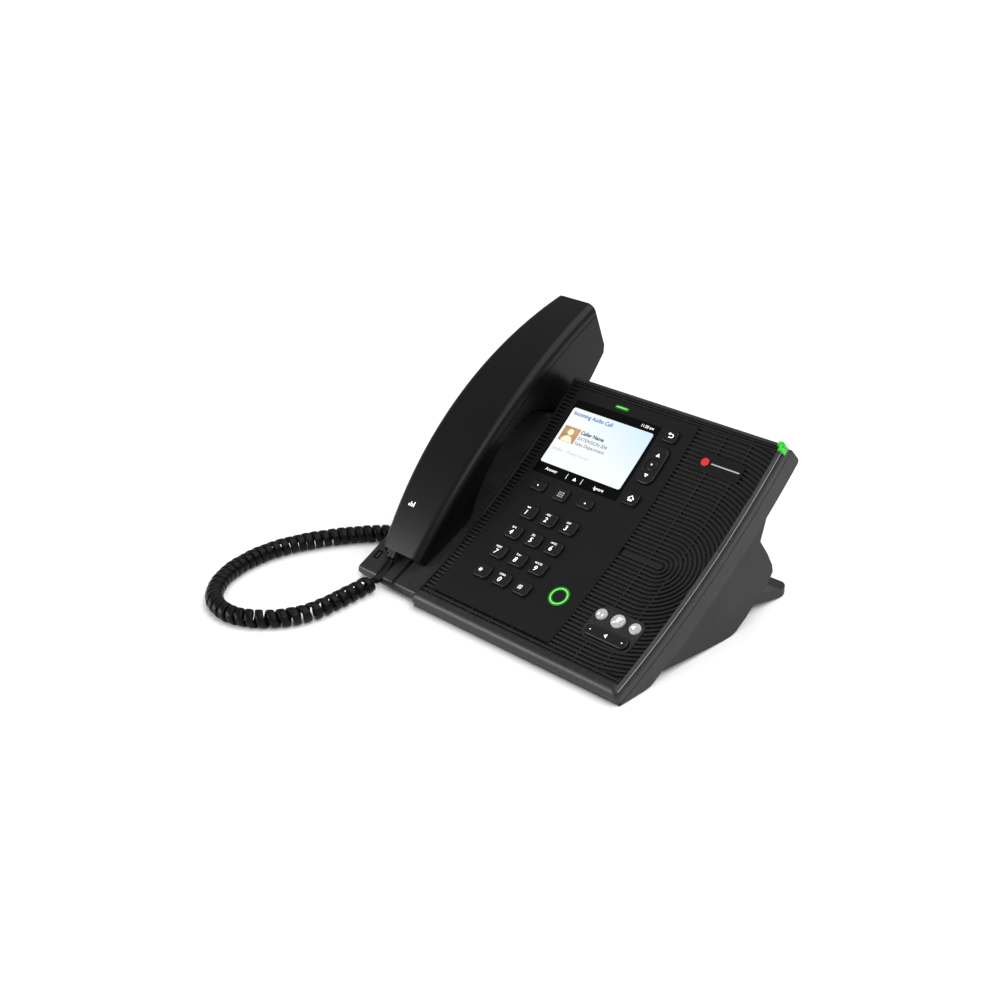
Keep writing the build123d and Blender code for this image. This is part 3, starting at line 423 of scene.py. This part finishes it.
def curly_cord():
    at, axis = evenly(route_line(CORD_ROUTE), FINE_STEP)
    ends = [at[np.argmin(np.linalg.norm(axis - np.array(place), axis=1))] for place in COIL_ENDS]
    first, last = ends[0] + 1.0, ends[1] - 1.0
    tangent = np.gradient(axis, at, axis=0)
    tangent /= np.linalg.norm(tangent, axis=1)[:, None]
    up = np.array([0.0, 0.0, 1.0]) - tangent * tangent[:, 2:3]
    up /= np.linalg.norm(up, axis=1)[:, None]
    side = np.cross(tangent, up)
    # turns lie closer on the far run than near the handset, and are never quite even
    share = (at - first) / (last - first)
    pitch = NEAR_PITCH + PITCH_GAIN * smooth_step((share - 0.62) / 0.3)
    pitch *= 1 + 0.05 * np.sin(share * 61.0) + 0.035 * np.sin(share * 143.0 + 1.3)
    wound = smooth_step((at - first + 4) / 6) * smooth_step((last + 4 - at) / 6)
    turn = np.concatenate([[0.0], np.cumsum(2 * np.pi / pitch * wound)[:-1] * FINE_STEP])
    radius = COIL_RADIUS * smooth_step((at - first + 3) / 8) * smooth_step((last + 3 - at) / 8)
    radius *= 1 + 0.02 * np.sin(share * 97.0)
    out = np.cos(turn)[:, None] * up + np.sin(turn)[:, None] * side
    wire = axis + out * radius[:, None]
    wire_at, wire_line = evenly(wire, WIRE_STEP)
    wire_along = np.concatenate([[0.0], np.cumsum(np.linalg.norm(np.diff(wire, axis=0), axis=1))])
    outward = np.stack([np.interp(wire_at, wire_along, out[:, k]) for k in range(3)], axis=1)
    direction = np.gradient(wire_line, wire_at, axis=0)
    direction /= np.linalg.norm(direction, axis=1)[:, None]
    outward -= direction * (outward * direction).sum(1)[:, None]
    outward /= np.linalg.norm(outward, axis=1)[:, None]
    across = np.cross(direction, outward)
    section = []
    for i in range(SECTION_POINTS):
        angle = 2 * math.pi * (i + 0.5) / SECTION_POINTS
        c, s = math.cos(angle), math.sin(angle)
        section.append((math.copysign(abs(c) ** 0.62, c) * BAND_WIDTH / 2,
                        math.copysign(abs(s) ** 0.8, s) * BAND_THICKNESS / 2))
    solid = Mesh()
    rings = [[Vector((p + a * u + o * v) * MM) for u, v in section]
             for p, a, o in zip(wire_line, across, outward)]
    solid.loft(rings)
    mesh = bpy.data.meshes.new("curly_cord")
    mesh.from_pydata([tuple(v) for v in solid.verts], [], solid.faces)
    for polygon in mesh.polygons:
        polygon.use_smooth = True
    mesh.materials.append(cord_jacket)
    made = bpy.data.objects.new("curly_cord", mesh)
    bpy.context.scene.collection.objects.link(made)
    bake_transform(made)
    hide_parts("cord_coil", "cord_lead_handset", "cord_lead_base")
    print("cord length", round(float(wire_at[-1])), "turns", round(turn[-1] / 2 / math.pi, 1))


curly_cord()

# ------------------------------------------------------------------ ribbed face
RIB_TOP = -0.95
RIB_LOW = -2.7
FLOOR = -2.55
PITCH = 3.05
CORE_HALF = 1.95
GRILLE_REACH = 104
ARC_STEP, ARC_STEPS_MIN, ARC_STEPS_MAX = 1.6, 6, 120
CENTRE_X, CENTRE_S = 85.5, 91.3
LEFT_X, RIGHT_X = -56.2, 113.7
PANEL_LEFT_X, PANEL_RIGHT_X = -49.5, 54.0
PANEL_FRONT_S, PANEL_REAR_S = 13.0, 190.5
STRAIGHT_X = (PANEL_RIGHT_X, 62.0, 66.3, 67.2, 68.4, 70.0, 74.0, 78.0, 82.0)
EDGE_FRONT_S, EDGE_REAR_S = 7.7, 194.2
PAD_X, PAD_S = 85.4, 39.8
PAD_HALF_WIDTH, PAD_HALF_LENGTH, PAD_CORNER = 18.7, 12.2, 5.8


def arc_ends(distance, reach, edge):
    """Angles between which the arc of this radius stays inside the plate."""
    start = math.asin(min(1.0, reach / distance)) if distance > 0 else math.pi / 2
    end = math.acos(min(1.0, edge / distance)) if distance > edge else 0.0
    return start, max(end, 0.0)


def under_pad(x, s):
    """Whether a place lies under the raised pad of the round buttons, where the ribs stop."""
    across = max(abs(x - PAD_X) - PAD_HALF_WIDTH + PAD_CORNER, 0.0)
    along = max(abs(s - PAD_S) - PAD_HALF_LENGTH + PAD_CORNER, 0.0)
    return math.hypot(across, along) < PAD_CORNER


def rib(face, rows):
    """Rib along these rows, broken where it would run under the pad."""
    run = []
    for row in rows:
        (x0, s0), (x1, s1) = row
        if under_pad((x0 + x1) / 2, (s0 + s1) / 2):
            if len(run) > 1:
                face.bar(run, RIB_LOW, RIB_TOP)
            run = []
        else:
            run.append(row)
    if len(run) > 1:
        face.bar(run, RIB_LOW, RIB_TOP)


def ribbed_face():
    face = Mesh()
    hole_left, hole_right = PAD_X - PAD_HALF_WIDTH + 1.5, PAD_X + PAD_HALF_WIDTH - 1.5
    hole_front, hole_rear = PAD_S - PAD_HALF_LENGTH + 1.5, PAD_S + PAD_HALF_LENGTH - 1.5
    # floor of the grooves, in the four margins round the smooth panel, open under the pad
    for x0, x1, s0, s1 in ((LEFT_X, PANEL_LEFT_X, EDGE_FRONT_S, EDGE_REAR_S),
                           (PANEL_RIGHT_X, hole_left, EDGE_FRONT_S, EDGE_REAR_S),
                           (hole_right, RIGHT_X, EDGE_FRONT_S, EDGE_REAR_S),
                           (hole_left, hole_right, EDGE_FRONT_S, hole_front),
                           (hole_left, hole_right, hole_rear, EDGE_REAR_S),
                           (PANEL_LEFT_X, PANEL_RIGHT_X, EDGE_FRONT_S, PANEL_FRONT_S),
                           (PANEL_LEFT_X, PANEL_RIGHT_X, PANEL_REAR_S, EDGE_REAR_S)):
        steps = max(1, round((s1 - s0) / 6))
        rings = []
        for i in range(steps + 1):
            s = s0 + (s1 - s0) * i / steps
            rings.append([on_face(x0, s, FLOOR - 1.2), on_face(x0, s, FLOOR), on_face(x1, s, FLOOR),
                          on_face(x1, s, FLOOR - 1.2)])
        face.loft(rings)
    # two lines along the front and the rear edge, with short cross ribs
    for s0, s1 in ((7.8, 9.1), (10.1, 11.5), (191.0, 192.2), (193.0, 194.2)):
        face.bar([((x, s0), (x, s1)) for x in (LEFT_X, RIGHT_X)], RIB_LOW, RIB_TOP)
    for i in range(10):
        x = LEFT_X + 8.5 + 17.6 * i
        face.bar([((x, 9.0), (x + 1.0, 9.0)), ((x, 13.0), (x + 1.0, 13.0))], RIB_LOW, RIB_TOP - 0.6)
        face.bar([((x, 190.4), (x + 1.0, 190.4)), ((x, 193.2), (x + 1.0, 193.2))], RIB_LOW, RIB_TOP - 0.6)
    # short ribs down the left margin
    s = PANEL_FRONT_S + 0.9
    while s + 1.4 < PANEL_REAR_S:
        face.bar([((LEFT_X, s), (LEFT_X, s + 1.45)), ((PANEL_LEFT_X, s), (PANEL_LEFT_X, s + 1.45))],
                 RIB_LOW, RIB_TOP)
        s += PITCH
    # grille: straight ribs that turn into arcs round one centre
    face.bar([((PANEL_RIGHT_X + 1.6, CENTRE_S - CORE_HALF), (PANEL_RIGHT_X + 1.6, CENTRE_S + CORE_HALF))]
             + [((CENTRE_X, CENTRE_S - CORE_HALF), (CENTRE_X, CENTRE_S + CORE_HALF))]
             + [((CENTRE_X + CORE_HALF * math.sin(a), CENTRE_S - CORE_HALF * math.cos(a)),
                 (CENTRE_X + CORE_HALF * math.sin(a), CENTRE_S + CORE_HALF * math.cos(a)))
                for a in (0.5, 1.0, 1.35)],
             RIB_LOW, RIB_TOP)
    edge = RIGHT_X - CENTRE_X
    inner = CORE_HALF + PITCH / 2
    while inner < GRILLE_REACH:
        outer = inner + PITCH / 2
        for sign, reach in ((1, PANEL_REAR_S - CENTRE_S), (-1, CENTRE_S - PANEL_FRONT_S)):
            whole = outer < edge
            if whole and sign < 0:
                continue
            if inner > math.hypot(edge, reach):
                continue
            low_start, low_end = arc_ends(inner, reach, edge)
            high_start, high_end = arc_ends(outer, reach, edge)
            if whole:
                low_end = high_end = -math.pi / 2
            if low_start <= low_end or high_start <= high_end:
                continue
            rows = []
            top_inner = min(inner, reach)
            top_outer = min(outer, reach)
            if inner < reach - 0.3:
                for x in STRAIGHT_X:
                    rows.append(((x, CENTRE_S + sign * top_inner), (x, CENTRE_S + sign * top_outer)))
            steps = max(ARC_STEPS_MIN, round((low_start - low_end) * inner / ARC_STEP))
            steps = min(steps, ARC_STEPS_MAX)
            for i in range(steps + 1):
                a = low_start + (low_end - low_start) * i / steps
                b = high_start + (high_end - high_start) * i / steps
                rows.append(((CENTRE_X + inner * math.cos(a), CENTRE_S + sign * inner * math.sin(a)),
                             (CENTRE_X + outer * math.cos(b), CENTRE_S + sign * outer * math.sin(b))))
            if whole:
                for x in STRAIGHT_X[::-1]:
                    rows.append(((x, CENTRE_S - inner), (x, CENTRE_S - outer)))
            rib(face, rows)
        inner += PITCH
    # thin webs that join the ribs
    for x in (75.2, 95.2):
        for s0, s1 in ((14, 28), (51.6, 190)):
            steps = round((s1 - s0) / 2)
            along = [s0 + (s1 - s0) * i / steps for i in range(steps + 1)]
            rows = [((x - 0.5, s), (x + 0.5, s)) for s in along]
            face.bar(rows, RIB_LOW, RIB_TOP - 0.3, 0.1)
    made = face.make("ribbed_face", grille, "phone")
    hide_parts("face_grille")


ribbed_face()

# ------------------------------------------------------------------ legends on the keys
KEY_COLUMNS = (-24.8, -7.2, 10.4)
KEY_ROWS = (91.5, 74.1, 56.8, 39.4)
DIGITS = (("1", "2", "3"), ("4", "5", "6"), ("7", "8", "9"), ("star", "0", "hash"))
LETTERS = {"2": "ABC", "3": "DEF", "4": "GHI", "5": "JKL", "6": "MNO", "7": "PQRS", "8": "TUV", "9": "WXYZ",
           "0": "OPER"}
KEY_TOP = 1.2
ON_TOP = 0.02
MARK_LOW = KEY_TOP - 0.05
MARK_TOP = KEY_TOP + ON_TOP
SMALL_LOW, SMALL_TOP = 0.95, 1.0 + ON_TOP

for row, names in enumerate(DIGITS):
    for column, name in enumerate(names):
        x = KEY_COLUMNS[column] - 1.5
        s = KEY_ROWS[row]
        marks = Mesh()
        if name == "star":
            for i in range(6):
                a = math.pi / 3 * i
                ca, sa = math.cos(a), math.sin(a)
                marks.plate([(x + u * ca - v * sa, s + u * sa + v * ca)
                             for u, v in ((0.1, -0.3), (1.55, -0.22), (1.55, 0.22), (0.1, 0.3))],
                            MARK_LOW, MARK_TOP + 0.001 * i)
        elif name == "hash":
            for offset in (-0.75, 0.75):
                marks.plate([(x + offset - 0.4, s - 1.8), (x + offset - 0.1, s - 1.8),
                             (x + offset + 0.4, s + 1.8), (x + offset + 0.1, s + 1.8)], MARK_LOW, MARK_TOP)
                marks.plate([(x - 1.7, s + offset - 0.15), (x + 1.7, s + offset - 0.15),
                             (x + 1.7, s + offset + 0.15), (x - 1.7, s + offset + 0.15)],
                            MARK_LOW, MARK_TOP + 0.004)
        else:
            lettering(marks, name, x, s - 0.9, KEY_TOP, 3.7, depth=ON_TOP, weight=0.03, slant=0.12)
            if name in LETTERS:
                lettering(marks, LETTERS[name], x, s + 3.0, KEY_TOP, 1.45, depth=ON_TOP)
            elif name == "1":
                for i in range(2):
                    ring = circle(x - 0.8 + 1.6 * i, s + 3.0, 0.55, 14)
                    marks.plate(ring, MARK_LOW, MARK_TOP)
                marks.plate([(x - 0.8, s + 2.4), (x + 0.8, s + 2.4), (x + 0.8, s + 2.65),
                             (x - 0.8, s + 2.65)], MARK_LOW, MARK_TOP + 0.004)
        marks.make(f"legend_{name}", legend, f"key_{name}")

# soft keys carry a dot, the menu key a grid of squares
for name, x, s in (("softkey_left", -31.8, 111.9), ("softkey_right", 9.9, 111.8)):
    marks = Mesh()
    marks.plate(circle(x, s, 0.55, 16), SMALL_LOW, SMALL_TOP)
    marks.make(f"legend_{name}", legend, name)
marks = Mesh()
for i in range(3):
    for j in range(3):
        marks.plate(rounded(-10.9 + 1.75 * (i - 1), 111.4 + 1.55 * (j - 1), 1.1, 0.95, 0.2, 2),
                    MARK_LOW, MARK_TOP)
marks.make("legend_menu", legend_dim, "menu_key")

# back arrow
marks = Mesh()
arrow_x, arrow_s = 38.9, 177.3
rows = []
for i in range(9):
    a = -math.pi / 2 + math.pi * i / 8
    rows.append(((arrow_x + 0.9 + 0.95 * math.cos(a), arrow_s + 0.95 * math.sin(a)),
                 (arrow_x + 0.9 + 1.5 * math.cos(a), arrow_s + 1.5 * math.sin(a))))
rows = [((arrow_x - 1.2, arrow_s - 0.95), (arrow_x - 1.2, arrow_s - 1.5))] + rows
rows += [((arrow_x - 1.0, arrow_s + 0.95), (arrow_x - 1.0, arrow_s + 1.5))]
marks.bar(rows, MARK_LOW, MARK_TOP, 0.01)
marks.plate([(arrow_x - 2.4, arrow_s + 1.2), (arrow_x - 0.8, arrow_s + 0.1), (arrow_x - 0.8, arrow_s + 2.3)],
            MARK_LOW, MARK_TOP + 0.004)
marks.make("legend_back", legend, "back_key")

# house
marks = Mesh()
home_x, home_s = 38.6, 126.8
ROOF = ((-2.5, 0.0), (0.0, 2.3), (2.5, 0.0), (2.5, -0.75), (0.0, 1.55), (-2.5, -0.75))
marks.plate([(home_x + u, home_s + v) for u, v in ROOF], MARK_LOW, MARK_TOP)
for u0, u1, v0, v1 in ((-1.7, -1.2, -2.1, 0.1), (1.2, 1.7, -2.1, 0.1), (-1.2, -0.45, -2.1, -1.7),
                       (0.45, 1.2, -2.1, -1.7), (-0.5, 0.5, -2.1, -0.5)):
    marks.plate([(home_x + u0, home_s + v0), (home_x + u1, home_s + v0), (home_x + u1, home_s + v1),
                 (home_x + u0, home_s + v1)], MARK_LOW, MARK_TOP - 0.004)
marks.make("legend_home", legend, "home_key")

# navigation rocker and select button
marks = Mesh()
for direction, s in ((1, 161.4), (-1, 145.6)):
    marks.plate([(37.1, s - 1.0 * direction), (40.1, s - 1.0 * direction), (38.6, s + 1.5 * direction)],
                1.15, MARK_TOP)
marks.make("legend_nav", legend, "nav_rocker")
marks = Mesh()
marks.plate(circle(38.2, 153.8, 0.6, 16), 1.55, 1.6 + ON_TOP)
marks.make("legend_select", legend, "select_button")

# volume rocker: minus dot, speaker wedge, plus dot
marks = Mesh()
for x, radius in ((73.0, 0.42), (98.0, 0.45)):
    marks.plate(circle(x, 33.1, radius, 14), SMALL_LOW, SMALL_TOP)
marks.plate([(83.9, 33.0), (86.2, 31.5), (86.0, 34.6)], SMALL_LOW, SMALL_TOP)
marks.make("legend_volume", legend, "volume_rocker")

# round buttons: bright marks on the lit discs
DISC_TOP = 0.2
DISC_LOW = DISC_TOP - 0.05
DISC_MARK = DISC_TOP + ON_TOP
ROUND_S = 46.1
ROUND_X = {"headset_button": 71.7, "mute_button": 84.9, "speaker_button": 98.3}
for name, x in ROUND_X.items():
    marks = Mesh()
    s = ROUND_S
    if name == "headset_button":
        rows = [((x + r * math.cos(a), s + r * math.sin(a)) for r in (1.5, 1.95))
                for a in [math.radians(-10 + 20 * i) for i in range(11)]]
        marks.bar([tuple(row) for row in rows], DISC_LOW, DISC_MARK, 0.01)
        for side in (-1, 1):
            marks.plate(rounded(x + 1.5 * side, s - 0.8, 0.9, 1.7, 0.4, 3), DISC_LOW, DISC_MARK + 0.004)
    elif name == "mute_button":
        marks.plate(rounded(x, s + 0.9, 2.0, 4.0, 0.95, 4), DISC_LOW, DISC_MARK)
        rows = [((x + r * math.cos(a), s + 0.3 + r * math.sin(a)) for r in (1.9, 2.4))
                for a in [math.radians(180 + 18 * i) for i in range(11)]]
        marks.bar([tuple(row) for row in rows], DISC_LOW, DISC_MARK + 0.003, 0.01)
        marks.plate([(x - 2.5, s - 2.4), (x - 2.1, s - 2.8), (x + 2.5, s + 2.4), (x + 2.1, s + 2.8)],
                    DISC_LOW, DISC_MARK + 0.008)
    else:
        marks.plate([(x - 2.2, s - 0.6), (x - 1.3, s - 0.6), (x - 0.2, s - 1.5), (x - 0.2, s + 1.5),
                     (x - 1.3, s + 0.6), (x - 2.2, s + 0.6)], DISC_LOW, DISC_MARK)
        for r in (0.9, 1.8):
            rows = [((x + q * math.cos(a), s + q * math.sin(a)) for q in (r, r + 0.35))
                    for a in [math.radians(-45 + 15 * i) for i in range(7)]]
            marks.bar([tuple(row) for row in rows], DISC_LOW, DISC_MARK + 0.004, 0.01)
    marks.make(f"legend_{name}", disc_mark, name)

# ------------------------------------------------------------------ display
GLASS_TOP = -0.7
PAGE_TOP = GLASS_TOP + 0.05
TEXT_TOP = PAGE_TOP + 0.05


def screen_text(name, material, *lines):
    """Raised print on the lit page; a line is its words, x, s, height, then its lettering options."""
    print_mesh = Mesh()
    for words, x, s, size, options in lines:
        lettering(print_mesh, words, x, s, TEXT_TOP, size, depth=0.01, **options)
    print_mesh.make(name, material, "phone")


LEFT = {"align": "LEFT"}
page_mesh = Mesh()
page_mesh.slab(rounded(-9.25, 152.6, 69.6, 45.2, 1.6, 5), GLASS_TOP - 0.1, PAGE_TOP)
page_mesh.make("display_page", page, "phone")
screen_text("display_heading", page_blue,
            ("Incoming Audio Call", -41.6, 171.5, 2.9, {"align": "LEFT", "weight": 0.10}))
screen_text("display_name", page_text,
            ("Caller Name", -27.2, 159.3, 2.7, {"align": "LEFT", "weight": 0.13}))
screen_text("display_text", page_text, ("EXTENSION 204", -27.2, 154.7, 2.5, LEFT),
            ("Sales Department", -27.2, 150.7, 2.5, LEFT))
screen_text("display_subject", page_grey, ("Subject:", -41.6, 142.5, 2.2, LEFT),
            ("Weekly Review", -29.2, 142.5, 2.2, LEFT))
screen_text("display_bar_text", legend, ("11:20 am", 18.0, 178.6, 2.1, {}),
            ("Answer", -30.8, 126.2, 2.3, {}), ("Ignore", 11.4, 125.3, 2.3, {}))
bar_marks = Mesh()
bar_marks.slab([(-11.4, 124.6), (-8.4, 124.6), (-9.9, 127.0)], GLASS_TOP - 0.1, TEXT_TOP)
for x in (-17.0, -4.0):
    bar_marks.slab([(x, 123.8), (x + 0.25, 123.8), (x + 0.25, 128.0), (x, 128.0)], GLASS_TOP - 0.1, TEXT_TOP)
bar_marks.make("display_bar_marks", legend, "phone")
FIGURE_X = -35.1
SHOULDER_S, SHOULDER_RADIUS, SHOULDER_STEPS = 149.4, 4.6, 14
avatar = Mesh()
avatar.slab([(-41.9, 149.1), (-28.3, 149.1), (-28.3, 161.0), (-41.9, 161.0)], GLASS_TOP - 0.1,
            PAGE_TOP + 0.03)
avatar.make("avatar_back", avatar_back, "phone")
avatar = Mesh()
avatar.slab(circle(FIGURE_X, 157.0, 2.3, 24), PAGE_TOP - 0.1, TEXT_TOP + 0.02, 0.5)
shoulders = [(FIGURE_X + SHOULDER_RADIUS * math.cos(math.pi * i / SHOULDER_STEPS),
              SHOULDER_S + SHOULDER_RADIUS * math.sin(math.pi * i / SHOULDER_STEPS))
             for i in range(SHOULDER_STEPS + 1)]
avatar.slab(shoulders, PAGE_TOP - 0.1, TEXT_TOP + 0.02, 0.5)
avatar.make("avatar_figure", avatar_figure, "phone")

# ------------------------------------------------------------------ lights on the face
lights = Mesh()
lights.plate(rounded(-8.4, 185.6, 9.4, 0.9, 0.4, 4), -0.66, -0.52)
lights.make("light_bar_core", lens_bright, "phone")
halo = Mesh()
halo.plate(rounded(-8.3, 185.5, 11.6, 2.6, 1.2, 6), -0.84, -0.76)
halo.make("light_bar_halo", lens_halo, "phone")


def ring_on_face(name, x, s, inner, outer, low, high, material):
    ring = Mesh()
    steps = 48
    verts = []
    for level in (low, high):
        for radius in (inner, outer):
            verts += [on_face(u, v, level) for u, v in circle(x, s, radius, steps)]
    faces = []
    for i in range(steps):
        j = (i + 1) % steps
        a, b, c, d = 0, steps, 2 * steps, 3 * steps
        faces += [(a + i, a + j, b + j, b + i), (c + i, d + i, d + j, c + j),
                  (a + i, c + i, c + j, a + j), (b + i, b + j, d + j, d + i)]
    ring.put(verts, faces)
    return ring.make(name, material, "phone")


RING_X, RING_S = 36.8, 45.4
ring_on_face("status_ring", RING_X, RING_S, 5.4, 6.4, -0.90, -0.72, lens_bright)
ring_on_face("status_ring_glow", RING_X, RING_S, 4.6, 7.5, -0.90, -0.76, lens_halo)

# pale strip along the edge where the rim turns into the right side wall: a painted highlight standing in for
# the light that edge catches
edge_line = Mesh()
edge_line.bar([((116.95, s), (117.44, s)) for s in [3.2 + 2.0 * i for i in range(95)]], -0.35, 0.06, 0.16)
edge_line.make("rim_painted_highlight", edge_painted_highlight, "phone")

# three small bars of a sound level, near the mouth end of the handset
ARC_Y, ARC_Z, ARC_RADIUS = 199.4, -161.0, 339.8
MARK_ANGLE = math.radians(141.5)
level_mark = Mesh()
for i, height in enumerate((1.6, 3.2, 2.2, 3.6)):
    x = -98.4 + 1.5 * i
    rings = []
    for radius in (-0.1, 0.06):
        rings.append([Vector((x + u, ARC_Y + (ARC_RADIUS + radius) * math.cos(a),
                              ARC_Z + (ARC_RADIUS + radius) * math.sin(a))) * MM
                      for u, a in ((0, MARK_ANGLE), (0.7, MARK_ANGLE),
                                   (0.7, MARK_ANGLE - height / ARC_RADIUS),
                                   (0, MARK_ANGLE - height / ARC_RADIUS))])
    level_mark.loft(rings)
level_mark.make("handset_level_mark", legend, "handset")

# plain badge: a small disc and a bar
badge = Mesh()
badge.plate(circle(71.4, 168.6, 2.9, 32), -0.52, -0.42)
badge.make("badge_disc", badge_red, "phone")
badge = Mesh()
badge.plate(rounded(87.3, 168.6, 22.0, 0.9, 0.4, 4), -0.52, -0.45)
badge.make("badge_bar", badge_pale, "phone")

# ------------------------------------------------------------------ edges that catch the light
EDGE_WIDTHS = {
    "top_housing": 0.5, "bottom_housing": 0.5, "desk_stand": 0.6, "handset_cradle": 0.7, "rear_foot": 0.5,
    "volume_pad": 0.2, "badge_plate": 0.2, "handset_face": 0.5, "handset_back": 0.5,
}
for name, width in EDGE_WIDTHS.items():
    bevel = nodes[name].modifiers.new("edge", "BEVEL")
    bevel.width = width * MM
    bevel.segments = 3
    bevel.limit_method = "ANGLE"
    bevel.angle_limit = math.radians(32)
    bevel.use_clamp_overlap = True

# ------------------------------------------------------------------ floor and light
floor_mesh = bpy.data.meshes.new("floor")
reach = 6.0
corners = [(-reach, -reach, 0), (reach, -reach, 0), (reach, reach, 0), (-reach, reach, 0)]
floor_mesh.from_pydata(corners, [], [(0, 1, 2, 3)])
floor_material, floor_tree, floor_shader = new_material("floor_pale")
floor_tree.links.new(ramp(floor_tree, noise(floor_tree, 3.0), (0.93, 0.93, 0.93), (0.95, 0.95, 0.95)),
                     floor_shader.inputs["Base Color"])
floor_shader.inputs["Roughness"].default_value = 0.85
floor_shader.inputs["Specular IOR Level"].default_value = 0.15
floor_mesh.materials.append(floor_material)
floor = bpy.data.objects.new("floor", floor_mesh)
bpy.context.scene.collection.objects.link(floor)

world = bpy.data.worlds.new("studio")
world.use_nodes = True
world.node_tree.nodes["Background"].inputs["Color"].default_value = (1.0, 1.0, 1.0, 1.0)
world.node_tree.nodes["Background"].inputs["Strength"].default_value = 0.42
bpy.context.scene.world = world


def aim(made, place, target):
    made.location = place
    made.rotation_euler = (Vector(target) - Vector(place)).to_track_quat("-Z", "Y").to_euler()
    bpy.context.scene.collection.objects.link(made)


def soft_light(name, place, target, width, height, power):
    data = bpy.data.lights.new(name, "AREA")
    data.shape = "RECTANGLE"
    data.size = width
    data.size_y = height
    data.energy = power
    aim(bpy.data.objects.new(name, data), place, target)


sun_data = bpy.data.lights.new("overhead", "SUN")
sun_data.energy = 2.35
sun_data.angle = math.radians(70)
aim(bpy.data.objects.new("overhead", sun_data), (0.35, 0.35, 1.0), (0, 0, 0))
soft_light("front", (-1.15, -1.6, 0.40), (0, 0, 0.03), 1.4, 0.26, 34)
soft_light("right", (1.2, -0.6, 1.1), (0.0, 0, 0.08), 0.8, 0.8, 9)
bpy.context.scene.view_settings.view_transform = "Standard"
